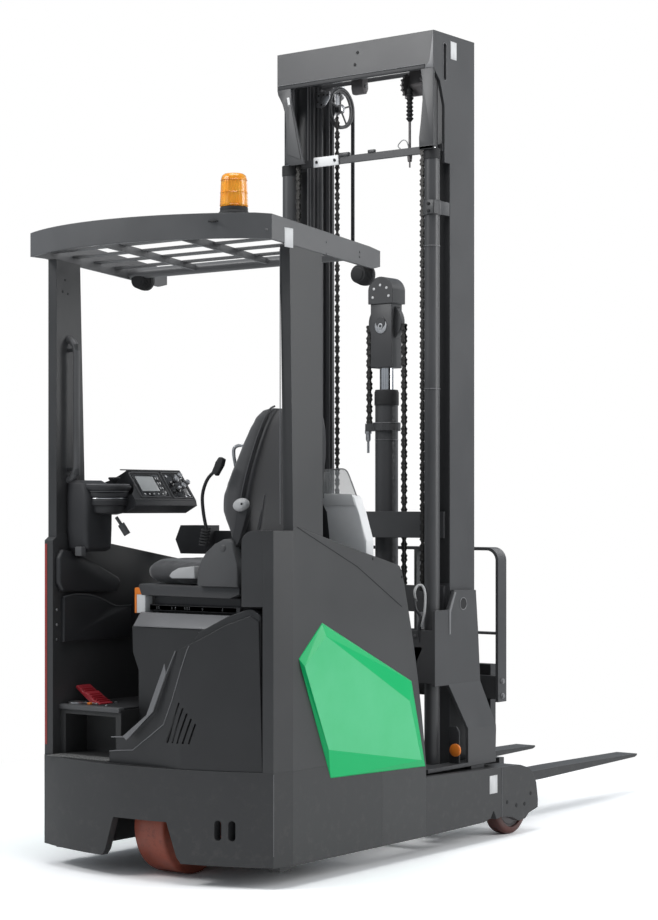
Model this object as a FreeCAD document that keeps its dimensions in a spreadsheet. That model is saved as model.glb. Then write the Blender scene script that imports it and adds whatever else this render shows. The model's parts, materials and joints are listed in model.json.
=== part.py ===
import FreeCAD, Part
import math
import operator
import os
import Sketcher
from FreeCAD import Placement, Rotation, Vector

# Reach truck with a rider seat set across the truck, rear entry on the left, a triplex mast on a reach
# carriage and a pair of forks. +X is the truck's right, +Y is forwards to the fork tips and +Z is up.
# Lengths are in millimetres. The sub-parts are drawn from a datum at the chassis' rear left corner on the
# floor, and each is then moved back so that the truck's plan is centred on the origin.

SIZES = {
    # chassis
    "chassis_width": 1000, "ground_gap": 72, "skirt_top": 385, "wall": 40, "floor_plate": 20,
    "rear_arc_x": -88, "rear_arc_y": 1135, "rear_arc_radius": 1207, "skirt_wall": 30, "corner_width": 22,
    "corner_side_y": 146, "base_front_y": 655, "bulkhead_plate": 15, "bulkhead_top": 985,
    "well_half_width": 330, "well_front_y": 520, "pocket_rear_y": 550, "skid": 40, "skid_drop": 22,
    "hole_x": 46, "hole_z": 190, "hole_radius": 12, "hole_length": 22, "hole_middle_x": 327,
    "arch_half_width": 150, "arch_top_half_width": 112, "arch_top": 207, "arch_x": 8,
    # side walls
    "wall_rear_top": 1180, "wall_crest_y": 167, "wall_crest": 1192, "wall_nose_y": 757, "wall_nose": 1050,
    "wall_brow_y": 773, "wall_brow": 1028, "wall_foot_y": 924, "wall_foot": 325, "wall_edge_radius": 4000,
    "left_wall_rear_y": 2, "left_wall_top": 1140, "left_wall_crest_y": 40, "left_wall_crest": 1167,
    # side pods
    "pod_proud": 15,
    # straddle legs
    "leg_width": 115, "leg_top": 272, "leg_bottom": 77, "leg_outer_plate": 28, "leg_inner_plate": 11,
    "leg_channel_depth": 50, "leg_channel_low": 118, "leg_channel_high": 222, "leg_beam_front_y": 1425,
    "fender_plate": 8, "fender_end_y": 1694, "fender_crest": 267,
    # wheels
    "drive_axle_x": 0, "drive_axle_y": 159, "wheelbase": 1403, "drive_radius": 171.5, "drive_width": 135,
    "drive_hub_radius": 120, "neck_radius": 100, "neck_gap": 8, "slew_gap": 0.3, "load_radius": 115,
    "load_width": 62, "load_hub_radius": 88, "load_axle_radius": 20, "axle_gap": 0.05,
    "hub_recess": 9, "drive_recess": 20,
    "shaft_radius": 35, "crown_ring_radius": 150,
    # operator's place
    "hood_left_x": -200, "hood_waist_x": -170, "hood_rear_y": 130, "hood_top": 885, "hood_chamfer": 45,
    "hood_waist": 690, "hood_shoulder": 750, "hood_front_y": 632, "side_gap": 5, "hood_wall": 12,
    "door_inset": 10, "door_step": 6, "door_right_gap": 17, "door_left_x": -150, "louvre_depth": 12,
    "louvre_pitch": 22, "louvre_width": 7, "cover_left_x": 381, "cover_low": 929, "cover_corner": 40,
    "battery_length": 300, "battery_height": 420, "battery_gap": 8, "step_top": 555, "step_rear_y": 40,
    "step_shell": 25, "step_recess": 110, "pedal_y": 60,
    # seat
    "seat_rear_y": 180, "seat_width": 440, "seat_front_x": -231, "seat_back_x": 190, "soft_gap": 0.3,
    "cover_plate": 29, "knob_radius": 26, "knob_x": 273, "knob_z": 1265, "cushion_top": 1085,
    "back_top": 1612, "pan_low": 945, "pan_top": 990, "rail_low": 895, "rail_top": 915,
    # steering console
    "column_width": 110, "column_rear_y": 60, "column_length": 140, "column_low": 1110,
    "column_top": 1300, "wheel_inset": 10, "wheel_y": 165, "wheel_z": 1325, "wheel_radius": 92,
    "wheel_rim": 11, "hub_drop": 20, "grip_height": 38, "panel_length": 330, "panel_low": 1235,
    "panel_top": 1392,
    "panel_reach": 215, "arm_left_x": -385, "arm_right_x": -60, "arm_low": 1085, "arm_top": 1190,
    "arm_rear_y": 570, "arm_front_y": 650, "arm_rail": 26,
    # overhead guard
    "roof_arc_x": -77, "roof_arc_y": 737, "roof_arc_radius": 910, "roof_plate": 12, "roof_front_y": 640,
    "roof_nose": 40, "roof_rear_top": 2217, "roof_rear_low": 2134, "roof_front_top": 2160,
    "roof_front_low": 2085, "roof_tube_y": 440, "roof_tube_radius": 19, "lamp_x": 445, "lamp_front": 25,
    "lamp_drop": 20, "lamp_radius": 38, "lamp_length": 45, "slat_pitch": 110, "slat_width": 40,
    "slat_plate": 6, "roof_bar_x": 165, "post_plate": 40, "post_low_front_y": 309, "post_top_rear_y": 127,
    "post_top_front_y": 303, "left_post_rear_y": 20, "left_post_front_y": 140, "grab_radius": 12,
    "grab_low": 1371, "grab_high": 1833, "grab_gap": 40,
    # beacon
    "beacon_x": 335, "beacon_y": 40, "beacon_radius": 48, "beacon_height": 112, "beacon_base": 32,
    "beacon_cap": 8,
    # mast
    "mast_side_gap": 7, "mast_rear_y": 1271, "mast_depth": 168, "channel_web": 12, "channel_flange": 14,
    "stage_gap_x": 7, "stage_gap_y": 6, "mast_low": 88, "mast_top": 3035, "outer_flange": 66,
    "middle_flange": 62, "inner_flange": 65, "middle_drop": 75, "inner_drop": 105, "crown_rear_y": 1162,
    "crown_height": 140, "crown_plate": 12, "crown_cheek_height": 485,
    "crown_slot_y": 1237, "crown_slot_length": 120, "crown_slot_radius": 10, "stay_drop": 443,
    "stay_height": 28, "tie_low": 860, "tie_high": 1140, "tie_height": 100, "lift_inset": 33,
    "lift_y": 1200, "lift_radius": 29, "lift_rod_radius": 18, "lift_low": 120, "lift_drop": 435,
    "rod_gap": 0.3, "yoke_gap": 60, "yoke_height": 70, "free_y": 1382, "free_radius": 45,
    "free_rod_radius": 27, "free_low": 150, "free_drop": 1320, "head_rise": 85, "head_height": 365,
    "head_width": 96, "head_depth": 70, "head_wheel_radius": 78, "cap_width": 116, "cap_height": 110,
    "chain_width": 24, "chain_thick": 10, "chain_x": 290, "anchor_drop": 130, "anchor_height": 30,
    "pulley_radius": 79, "pulley_rim": 12, "pulley_width": 22, "pulley_drop": 175, "pulley_y": 1408,
    "pulley_gap": 12,
    # reach carriage
    "cheek_inset": 122, "cheek_plate": 12, "cheek_foot_inset": 60, "cheek_top": 950,
    "cheek_bend_top": 590, "cheek_bend_low": 425,
    "carriage_gap": 14, "carriage_rear_y": 1006, "carriage_front_y": 1465, "carriage_plate": 14,
    "hanger_plate": 22, "hanger_length": 110, "carriage_low": 110, "roller_gap": 0.5, "wing_low": 600,
    "wing_high": 797, "wing_gap": 16, "ram_x": 250, "ram_z": 250, "ram_rear_y": 50, "ram_front_y": 556,
    "ram_radius": 30, "ram_rod_radius": 16, "reach_stroke": 450,
    # fork carriage
    "fork_face_y": 1687, "fork_length": 1150, "fork_width": 100, "fork_thick": 37, "fork_x": 260,
    "fork_low": 150, "shank_top": 640, "bar_depth": 34, "bar_height": 90, "low_bar_z": 190,
    "high_bar_z": 507, "low_bar_inset": 128, "truck_plate_inset": 125, "truck_plate": 16,
    "truck_front_y": 1570, "tilt_y": 1588, "tilt_z": 560, "tilt_pin_radius": 14, "tilt_boss_radius": 26,
    "tilt_gap": 0.05, "tilt_lug": 20, "tilt_ram_x": 150, "tilt_ram_z": 232, "tilt_ram_radius": 24,
    "tilt_rod_radius": 14, "tilt_stop_gap": 1.5, "rack_inset": 116, "rack_top": 1100, "rack_low": 500,
    "rack_bar": 12, "rack_depth": 60, "rack_rear_y": 1579, "rack_middle": 765,
}

doc = FreeCAD.newDocument("reach_truck")
sheet = doc.addObject("Spreadsheet::Sheet", "sizes")
for row, (name, number) in enumerate(SIZES.items(), 1):
    sheet.set("A%d" % row, name)
    sheet.set("B%d" % row, str(number))
    sheet.setAlias("B%d" % row, name)
doc.recompute()


class Size:
    """A length that carries its value and its formula over the sheet's cells."""

    SIGNS = {"+": operator.add, "-": operator.sub, "*": operator.mul, "/": operator.truediv}

    def __init__(self, value, text):
        self.value = value
        self.text = text

    def __float__(self):
        return float(self.value)

    def joined(self, other, sign, swapped=False):
        other = as_size(other)
        first, second = (other, self) if swapped else (self, other)
        value = self.SIGNS[sign](first.value, second.value)
        return Size(value, "(%s %s %s)" % (first.text, sign, second.text))

    def __add__(self, other):
        return self.joined(other, "+")

    def __radd__(self, other):
        return self.joined(other, "+", True)

    def __sub__(self, other):
        return self.joined(other, "-")

    def __rsub__(self, other):
        return self.joined(other, "-", True)

    def __mul__(self, other):
        return self.joined(other, "*")

    def __rmul__(self, other):
        return self.joined(other, "*", True)

    def __truediv__(self, other):
        return self.joined(other, "/")

    def __neg__(self):
        return 0 - self


class Sizes:
    """The sheet's cells by name, as lengths to reckon with."""

    def __getattr__(self, name):
        return Size(float(sheet.get(name)), "sizes." + name)


S = Sizes()


def as_size(number):
    return number if isinstance(number, Size) else Size(float(number), "%.6g" % number)


def bind(piece, **formulas):
    """Tie properties of a piece to formulas; a double underscore stands for a dot."""
    for name, formula in formulas.items():
        piece.setExpression(name.replace("__", "."), as_size(formula).text)


half_width = S.chassis_width / 2
wall_inner_x = half_width - S.wall
leg_inner_x = half_width - S.leg_width
door_right_x = wall_inner_x - S.door_right_gap
column_front_x = S.column_width - wall_inner_x
wheel_x = column_front_x - S.wheel_inset
cheek_x = half_width - S.cheek_inset
cheek_foot_x = half_width - S.cheek_foot_inset
mast_half_width = cheek_x - S.mast_side_gap
lift_x = mast_half_width - S.lift_inset
truck_plate_x = mast_half_width - S.truck_plate_inset
rack_x = half_width - S.rack_inset
low_bar_half_width = half_width - S.low_bar_inset
middle_top = S.mast_top - S.middle_drop
inner_top = S.mast_top - S.inner_drop
crown_low = S.mast_top - S.crown_height
crown_cheek_low = S.mast_top - S.crown_cheek_height
stay_low = S.mast_top - S.stay_drop
lift_top = S.mast_top - S.lift_drop
free_top = S.mast_top - S.free_drop
head_low = free_top + S.head_rise
head_top = head_low + S.head_height
load_axle_y = S.drive_axle_y + S.wheelbase
fork_tip_y = S.fork_face_y + S.fork_length
rear_tip_y = S.roof_arc_y - S.roof_arc_radius
origin_y = (fork_tip_y + rear_tip_y) / 2

# ---------------------------------------------------------------- building functions

TURNS = {
    "X": Rotation(Vector(0, 1, 0), 90),
    "Y": Rotation(Vector(1, 0, 0), -90),
    "Z": Rotation(),
}
NODES = {}
OWN_Y = {}


def place(piece, x, y, z, turn=None):
    if turn is not None:
        piece.Placement = Placement(Vector(0, 0, 0), turn)
    bind(piece, Placement__Base__x=x, Placement__Base__y=y, Placement__Base__z=z)
    OWN_Y[piece.Name] = as_size(y)
    return piece


def box(x, y, z):
    """A block from three (low, high) pairs."""
    piece = doc.addObject("Part::Box", "Block")
    bind(piece, Length=x[1] - as_size(x[0]), Width=y[1] - as_size(y[0]), Height=z[1] - as_size(z[0]))
    return place(piece, x[0], y[0], z[0])


def rod(radius, length, x, y, z, axis="Z"):
    """A round bar that starts at x, y, z and runs along +axis."""
    piece = doc.addObject("Part::Cylinder", "Rod")
    bind(piece, Radius=radius, Height=length)
    return place(piece, x, y, z, TURNS[axis])


def fuse(*pieces):
    joined = doc.addObject("Part::MultiFuse", "Join")
    joined.Shapes = list(pieces)
    joined.Refine = True
    return joined


def common(*pieces):
    joined = doc.addObject("Part::MultiCommon", "Meet")
    joined.Shapes = list(pieces)
    joined.Refine = True
    return joined


def cut(base, *tools):
    piece = doc.addObject("Part::Cut", "Trim")
    piece.Base = base
    piece.Tool = tools[0] if len(tools) == 1 else fuse(*tools)
    piece.Refine = True
    return piece


def origin_plane(body, role):
    for feature in body.Origin.OriginFeatures:
        if feature.Role == role:
            return feature
    raise LookupError(role)


def draw(sketch, points, arcs):
    """Close an outline through points whose every coordinate is tied to a formula. arcs gives the radius
    of a side by its index, positive where the arc bulges to the right of its run."""
    spots = [(as_size(x), as_size(y)) for x, y in points]
    for index, (x, y) in enumerate(spots):
        next_x, next_y = spots[(index + 1) % len(spots)]
        start = Vector(x.value, y.value, 0)
        end = Vector(next_x.value, next_y.value, 0)
        if index not in arcs:
            sketch.addGeometry(Part.LineSegment(start, end), False)
            continue
        radius = as_size(arcs[index])
        chord = end - start
        right = Vector(chord.y, -chord.x, 0).normalize()
        side = 1 if radius.value > 0 else -1
        reach = abs(radius.value)
        sagitta = reach - math.sqrt(reach ** 2 - (chord.Length / 2) ** 2)
        middle = (start + end) / 2 + right * (side * sagitta)
        sketch.addGeometry(Part.Arc(start, middle, end), False)
    tie_outline(sketch, spots, arcs)


def tie_outline(sketch, spots, arcs):
    count = len(spots)
    ends = []
    for index in range(count):
        start = Vector(spots[index][0].value, spots[index][1].value, 0)
        first = sketch.getPoint(index, 1)
        ends.append((1, 2) if (first - start).Length < 1e-4 else (2, 1))
    for index in range(count):
        following = (index + 1) % count
        sketch.addConstraint(Sketcher.Constraint(
            "Coincident", index, ends[index][1], following, ends[following][0]))
    for index, (x, y) in enumerate(spots):
        for kind, formula in (("DistanceX", x), ("DistanceY", y)):
            number = sketch.addConstraint(Sketcher.Constraint(
                kind, -1, 1, index, ends[index][0], formula.value))
            sketch.setExpression("Constraints[%d]" % number, formula.text)
    for index, radius in arcs.items():
        radius = as_size(radius)
        length = radius if radius.value > 0 else -radius
        number = sketch.addConstraint(Sketcher.Constraint("Radius", index, length.value))
        sketch.setExpression("Constraints[%d]" % number, length.text)


def plate(plane, points, start, thick, arcs=None):
    """A body with one pad: an outline on a plane of the datum, from start along the plane's axis."""
    body = doc.addObject("PartDesign::Body", "Plate")
    sketch = body.newObject("Sketcher::SketchObject", "Outline")
    sketch.AttachmentSupport = [(origin_plane(body, plane + "_Plane"), "")]
    sketch.MapMode = "FlatFace"
    backwards = plane == "XZ"
    offset = as_size(start)
    sketch.setExpression("AttachmentOffset.Base.z", (-offset if backwards else offset).text)
    draw(sketch, points, arcs or {})
    pad = body.newObject("PartDesign::Pad", "Pad")
    pad.Profile = sketch
    pad.Reversed = backwards
    bind(pad, Length=thick)
    body.Tip = pad
    sketch.Visibility = False
    return place(body, 0, 0, 0)


def prism(radius, length, x, y, z, axis="Z", sides=24):
    """A straight bar with many flat sides, for a round piece that nothing runs on."""
    piece = doc.addObject("Part::Prism", "Facets")
    piece.Polygon = sides
    bind(piece, Circumradius=radius, Height=length)
    return place(piece, x, y, z, TURNS[axis])


def tyre(radius, bore, width, x, y, z):
    """A round tread across the truck, on the many flats of its hub."""
    return cut(rod(radius, width, x, y, z, "X"), prism(bore, width, x, y, z, "X"))


def hub(radius, bore, width, x, y, z):
    """A hub with many flats that key the tyre, and a round bore for its shaft."""
    return cut(prism(radius, width, x, y, z, "X"), rod(bore, width, x, y, z, "X"))


def mirrored(piece):
    """The left hand of a right hand piece. It follows its source, so it's already moved with it."""
    twin = doc.addObject("Part::Mirroring", "Left")
    twin.Source = piece
    twin.Normal = Vector(1, 0, 0)
    twin.Base = Vector(0, 0, 0)
    OWN_Y[twin.Name] = origin_y
    return twin


def unmoved(piece):
    """A published piece's solid back at the datum, for cutting another piece to it."""
    link = doc.addObject("Part::Compound", "Datum")
    link.Links = [piece]
    bind(link, Placement__Base__y=origin_y)
    return link


def publish(node, piece):
    """Keep a finished piece as a sub-part and move it from the datum to the truck's origin."""
    piece.Label = node
    own = OWN_Y.get(piece.Name, as_size(0))
    bind(piece, Placement__Base__y=own - origin_y)
    NODES[node] = piece
    return piece


# ---------------------------------------------------------------- chassis

def arc_y(x, arc_x, arc_centre_y, radius):
    """Y of a circle's near side at x, as a formula."""
    run = as_size(x) - arc_x
    value = arc_centre_y.value - math.sqrt(radius.value ** 2 - run.value ** 2)
    text = "(%s - sqrt(pow(%s; 2) - pow(%s; 2)))" % (arc_centre_y.text, radius.text, run.text)
    return Size(value, text)


def tail_plan(inset, left_x, right_x, front_y, right_points=()):
    """Points of a tail-shaped plan, anticlockwise from the front left; side 1 is the rear arc."""
    radius = S.rear_arc_radius - inset
    left = arc_y(left_x, S.rear_arc_x, S.rear_arc_y, radius)
    right = arc_y(right_x, S.rear_arc_x, S.rear_arc_y, radius)
    points = [(left_x, front_y), (left_x, left), (right_x, right)] + list(right_points)
    return points + [(points[-1][0], front_y)], {1: radius}


def base_frame():
    points, arcs = tail_plan(0, -half_width, half_width - S.corner_width, S.base_front_y,
                             right_points=[(half_width, S.corner_side_y)])
    block = plate("XY", points, S.ground_gap, S.skirt_top - S.ground_gap, arcs)
    points, arcs = tail_plan(S.skirt_wall, -S.well_half_width, S.well_half_width, S.well_front_y)
    roof_low = S.skirt_top - S.floor_plate
    well = plate("XY", points, S.ground_gap - 10, roof_low - S.ground_gap + 10, arcs)
    pocket = box((-wall_inner_x, wall_inner_x), (S.pocket_rear_y, S.base_front_y + 10),
                 (S.ground_gap - 10, roof_low))
    arch_low_x = S.arch_half_width + 20
    arch = plate("XZ", [
        (S.arch_x - arch_low_x, S.ground_gap - 5), (S.arch_x + arch_low_x, S.ground_gap - 5),
        (S.arch_x + S.arch_half_width, S.ground_gap + 20), (S.arch_x + S.arch_top_half_width, S.arch_top),
        (S.arch_x - S.arch_top_half_width, S.arch_top), (S.arch_x - S.arch_half_width, S.ground_gap + 20),
    ], -200, 300)
    neck_hole = prism(S.neck_radius + S.neck_gap, S.floor_plate + 40, S.drive_axle_x, S.drive_axle_y,
                    roof_low - 20)
    ram_hole = prism(S.ram_radius + 2, 100, S.ram_x, S.well_front_y - 30, S.ram_z, "Y")
    bulkhead = box((-wall_inner_x, wall_inner_x), (S.base_front_y - S.bulkhead_plate, S.base_front_y),
                   (S.skirt_top, S.bulkhead_top))
    holes = []
    for x in (S.hole_middle_x - S.hole_x / 2, S.hole_middle_x + S.hole_x / 2):
        holes.append(box((x - S.hole_radius, x + S.hole_radius), (-S.wall, S.corner_side_y),
                         (S.hole_z - S.hole_length, S.hole_z + S.hole_length)))
        for z in (S.hole_z - S.hole_length, S.hole_z + S.hole_length):
            holes.append(prism(S.hole_radius, S.corner_side_y + S.wall, x, -S.wall, z, "Y", 10))
    skids = []
    for low, y in ((half_width - 2 * S.skid, S.corner_side_y), (-half_width, S.step_rear_y + S.skid)):
        skids.append(box((low, low + S.skid), (y - S.skid / 2, y + S.skid),
                         (S.ground_gap - S.skid_drop, S.ground_gap)))
    hollowed = cut(block, well, pocket, arch, neck_hole, ram_hole, *holes)
    base = publish("base_frame", fuse(hollowed, bulkhead, *skids))
    barrel = rod(S.ram_radius, S.ram_front_y - S.ram_rear_y, S.ram_x, S.ram_rear_y, S.ram_z, "Y")
    flange = box((S.ram_x - 45, S.ram_x + 45), (S.well_front_y - 12, S.well_front_y),
                 (S.ram_z - 45, S.ram_z + 45))
    bore = prism(S.ram_rod_radius + 2 * S.rod_gap, S.ram_front_y - S.ram_rear_y, S.ram_x,
                 S.ram_rear_y + 15, S.ram_z, "Y")
    publish("reach_barrel", cut(fuse(barrel, flange), bore))
    return base


def side_walls():
    panel = plate("YZ", [
        (S.corner_side_y, S.skirt_top), (S.base_front_y, S.skirt_top), (S.base_front_y, S.ground_gap),
        (S.wall_foot_y, S.ground_gap), (S.wall_foot_y, S.wall_foot), (S.wall_brow_y, S.wall_brow),
        (S.wall_nose_y, S.wall_nose), (S.wall_crest_y, S.wall_crest), (S.corner_side_y, S.wall_rear_top),
    ], wall_inner_x, S.wall, {4: S.wall_edge_radius})
    edge_x = half_width - S.corner_width
    columns = []
    for column_x, low in ((door_right_x + 3, S.skirt_top), (S.cover_left_x, S.cover_low)):
        columns.append(plate("XY", [
            (column_x, S.hood_rear_y),
            (column_x, arc_y(column_x, S.rear_arc_x, S.rear_arc_y, S.rear_arc_radius)),
            (edge_x, arc_y(edge_x, S.rear_arc_x, S.rear_arc_y, S.rear_arc_radius)),
            (half_width, S.corner_side_y), (wall_inner_x, S.corner_side_y), (wall_inner_x, S.hood_rear_y),
        ], low, S.wall_rear_top - low))
    rounded = plate("XZ", [
        (S.cover_left_x, S.cover_low), (half_width, S.cover_low), (half_width, S.wall_rear_top),
        (S.cover_left_x + S.cover_corner, S.wall_rear_top),
        (S.cover_left_x, S.wall_rear_top - S.cover_corner),
    ], -S.wall, S.hood_rear_y + 2 * S.wall, {3: S.cover_corner})
    publish("side_wall_right", fuse(panel, columns[0], common(columns[1], rounded)))
    left = publish("side_wall_left", plate("YZ", [
        (S.left_wall_rear_y, S.skirt_top), (S.base_front_y, S.skirt_top), (S.base_front_y, S.ground_gap),
        (S.wall_foot_y, S.ground_gap), (S.wall_foot_y, S.wall_foot), (S.wall_brow_y, S.wall_brow),
        (S.wall_nose_y, S.wall_nose), (S.left_wall_crest_y, S.left_wall_crest),
        (S.left_wall_rear_y, S.left_wall_top),
    ], -half_width, S.wall, {4: S.wall_edge_radius}))
    return left


def side_pods():
    """Faceted pods on the side walls: a five-sided panel with a wide bevel."""
    outline = [(176, 755), (352, 341), (919, 325), (832, 638), (304, 869)]
    inner = [(190, 729), (322, 441), (874, 353), (799, 570), (308, 824)]
    foot = [Vector(float(half_width), y, z) for y, z in outline]
    top = [Vector(float(half_width + S.pod_proud), y, z) for y, z in inner]
    rims = [foot, top]
    for index in range(len(foot)):
        after = (index + 1) % len(foot)
        rims.append([foot[index], foot[after], top[after]])
        rims.append([foot[index], top[after], top[index]])
    faces = [Part.Face(Part.makePolygon(rim + rim[:1])) for rim in rims]
    right = Part.Solid(Part.Shell(faces))
    pods = doc.addObject("Part::Feature", "Pods")
    pods.Shape = Part.makeCompound([right, right.mirror(Vector(0, 0, 0), Vector(1, 0, 0))])
    publish("side_pods", pods)


def straddle_leg():
    """Box beam with a roller channel in its inner side and a wheel fork at its front end."""
    beam = box((leg_inner_x, wall_inner_x), (S.pocket_rear_y, S.leg_beam_front_y), (S.leg_bottom, S.leg_top))
    channel = box((leg_inner_x - 5, leg_inner_x + S.leg_channel_depth),
                  (S.pocket_rear_y - 5, S.leg_beam_front_y - 40), (S.leg_channel_low, S.leg_channel_high))
    outer = plate("YZ", [
        (S.wall_foot_y, S.leg_bottom - 5), (1308, S.leg_bottom), (1354, S.leg_bottom + 11), (1375, 114),
        (1395, S.leg_bottom + 2), (1431, 85), (1504, 74), (1552, 55), (1600, 58), (1626, 76), (1692, 91),
        (S.fender_end_y, 122), (1681, 189), (1654, 232), (1621, 252), (1568, S.fender_crest),
        (1395, S.leg_top), (S.wall_foot_y, S.leg_top + 14),
    ], half_width - S.leg_outer_plate, S.leg_outer_plate)
    filler = box((wall_inner_x, half_width - S.leg_outer_plate), (S.wall_foot_y, S.leg_beam_front_y),
                 (S.leg_bottom, S.leg_top))
    inner = plate("YZ", [
        (S.leg_beam_front_y, S.leg_bottom + 5), (1650, 91), (1650, 215), (1600, 250),
        (S.leg_beam_front_y, S.leg_top),
    ], leg_inner_x, S.leg_inner_plate)
    fender = plate("YZ", [
        (S.leg_beam_front_y, S.leg_top), (S.leg_beam_front_y, S.leg_top - S.fender_plate),
        (1568, S.fender_crest - S.fender_plate), (1618, 244), (1648, 227), (1654, 232), (1621, 252),
        (1568, S.fender_crest),
    ], leg_inner_x + S.leg_inner_plate, half_width - S.leg_outer_plate - leg_inner_x - S.leg_inner_plate)
    axle = rod(S.load_axle_radius, half_width - 4 - leg_inner_x, leg_inner_x, load_axle_y,
               S.load_radius, "X")
    leg = cut(fuse(beam, outer, filler, inner, fender, axle), channel)
    publish("straddle_leg_right", leg)
    publish("straddle_leg_left", mirrored(leg))


def load_wheels():
    bay_low = leg_inner_x + S.leg_inner_plate
    bay_high = half_width - S.leg_outer_plate
    middle_x = (bay_low + bay_high) / 2
    for side, sign in (("right", 1), ("left", -1)):
        start_x = sign * middle_x - S.load_width / 2
        publish("load_tyre_" + side, tyre(
            S.load_radius, S.load_hub_radius, S.load_width, start_x, load_axle_y, S.load_radius))
        publish("load_hub_" + side, hub(
            S.load_hub_radius, S.load_axle_radius + S.axle_gap, S.load_width - 2 * S.hub_recess,
            start_x + S.hub_recess, load_axle_y, S.load_radius))


def drive_unit():
    start_x = S.drive_axle_x - S.drive_width / 2
    publish("drive_tyre", tyre(S.drive_radius, S.drive_hub_radius, S.drive_width, start_x, S.drive_axle_y,
                               S.drive_radius))
    publish("drive_hub", hub(S.drive_hub_radius, S.shaft_radius + S.axle_gap,
                             S.drive_width - 2 * S.drive_recess, start_x + S.drive_recess, S.drive_axle_y,
                             S.drive_radius))
    ring_low = 2 * S.drive_radius + 7
    crown = prism(S.crown_ring_radius, S.skirt_top - S.floor_plate - S.slew_gap - ring_low,
                  S.drive_axle_x, S.drive_axle_y, ring_low)
    neck = rod(S.neck_radius, S.skirt_top - S.slew_gap - ring_low, S.drive_axle_x, S.drive_axle_y, ring_low)
    gearbox = box((S.drive_axle_x + S.drive_width / 2 + 6, S.drive_axle_x + S.drive_width / 2 + 46),
                  (S.drive_axle_y - 60, S.drive_axle_y + 60), (S.drive_radius - 55, ring_low + 5))
    boss = prism(62, 40, S.drive_axle_x + S.drive_width / 2 + 6, S.drive_axle_y, S.drive_radius, "X", 16)
    shaft = rod(S.shaft_radius, S.drive_width - 20, S.drive_axle_x - S.drive_width / 2 + 26, S.drive_axle_y,
                S.drive_radius, "X")
    publish("drive_turret", fuse(crown, neck, gearbox, boss, shaft))


# ---------------------------------------------------------------- operator's place

def hood():
    right_x = wall_inner_x - S.side_gap
    block = plate("XZ", [
        (S.hood_waist_x, S.skirt_top), (right_x, S.skirt_top), (right_x, S.hood_top - S.hood_chamfer),
        (right_x, S.hood_top), (S.hood_left_x + 16, S.hood_top),
        (S.hood_left_x, S.hood_top - S.hood_chamfer),
        (S.hood_left_x + 3, S.hood_shoulder), (S.hood_waist_x, S.hood_waist),
    ], S.hood_rear_y, S.hood_front_y - S.hood_rear_y)
    slope = plate("YZ", [
        (S.hood_rear_y - 5, S.hood_top - S.hood_chamfer - 5 * 1.2), (S.hood_rear_y + 40, S.hood_top + 3),
        (S.hood_rear_y - 5, S.hood_top + 3),
    ], S.hood_left_x - 10, right_x + 20 - S.hood_left_x)
    hollow = box((S.hood_waist_x + 12, right_x - 12), (S.hood_rear_y + 12, S.hood_front_y - 12),
                 (S.skirt_top - 5, S.hood_top - S.hood_chamfer - 25))
    publish("seat_hood", cut(block, slope, hollow))


def rear_door():
    """Curved panel that follows the tail's arc, swept up from a toe on the floor to the hood's shoulder."""
    depth = S.hood_rear_y + 2 * S.wall
    right_x = door_right_x - 12
    outline = plate("XZ", [
        (S.door_left_x, S.skirt_top), (door_right_x, S.skirt_top), (right_x, 903), (right_x - 26, 924),
        (328, 895), (233, 842), (209, 810), (135, 614), (97, 529), (-42, 434), (-122, 428),
        (S.door_left_x, 425),
    ], -S.wall, depth)
    ridge = plate("XZ", [
        (S.door_left_x + 33, S.skirt_top), (door_right_x, S.skirt_top), (right_x, 880), (right_x - 26, 899),
        (328, 868), (233, 816), (152, 778), (59, 571), (-55, 480), (S.door_left_x + 33, 476),
    ], -S.wall, depth)
    tails = []
    for inset in (S.door_inset, S.door_inset - S.door_step, S.door_inset + S.louvre_depth):
        points, arcs = tail_plan(inset, -200, door_right_x + 10, S.hood_rear_y)
        tails.append(plate("XY", points, S.skirt_top - 5, S.hood_top - S.skirt_top + S.wall, arcs))
    louvres = []
    for step in range(5):
        low_x = 108 + step * S.louvre_pitch
        high_x = low_x + 52 - step * 7
        high_z = 606 - step * 17
        louvres.append(plate("XZ", [
            (low_x, 470), (low_x + S.louvre_width, 470), (high_x + S.louvre_width, high_z), (high_x, high_z),
        ], -S.wall, depth))
    panel = fuse(common(outline, tails[0]), common(ridge, tails[1]))
    publish("rear_door", cut(panel, cut(fuse(*louvres), tails[2])))


def battery():
    low_x = S.hood_waist_x + S.hood_wall + S.battery_gap
    high_x = wall_inner_x - S.side_gap - S.hood_wall - S.battery_gap
    front_y = S.hood_front_y - S.hood_wall - S.battery_gap
    publish("battery", box((low_x, high_x), (front_y - S.battery_length, front_y),
                           (S.skirt_top, S.skirt_top + S.battery_height)))


def footwell():
    """Raised foot platform beside the hood, with a toe recess under its rear edge, and the red pedal."""
    outer = box((-wall_inner_x, S.hood_waist_x), (S.step_rear_y, S.hood_front_y), (S.skirt_top, S.step_top))
    recess = box((-wall_inner_x + S.step_shell, S.hood_waist_x - S.step_shell),
                 (S.step_rear_y - 5, S.step_rear_y + S.step_recess),
                 (S.skirt_top + 5, S.step_top - S.step_shell))
    publish("foot_step", cut(outer, recess))
    tread = plate("XZ", [(-440, S.step_top + 62), (-432, S.step_top + 68), (-325, S.step_top + 8),
                         (-333, S.step_top)], S.step_rear_y + S.pedal_y, 60)
    publish("accelerator_pedal", tread)


def back_outline(low_y, high_y):
    """The backrest seen from its front: its sides draw in towards the top."""
    return plate("YZ", [
        (low_y, S.pan_top - 10), (low_y, 1380), (low_y + 35, 1520), (low_y + 110, S.back_top),
        (high_y - 110, S.back_top), (high_y - 35, 1520), (high_y, 1380), (high_y, S.pan_top - 10),
    ], 100, 300)


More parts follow.
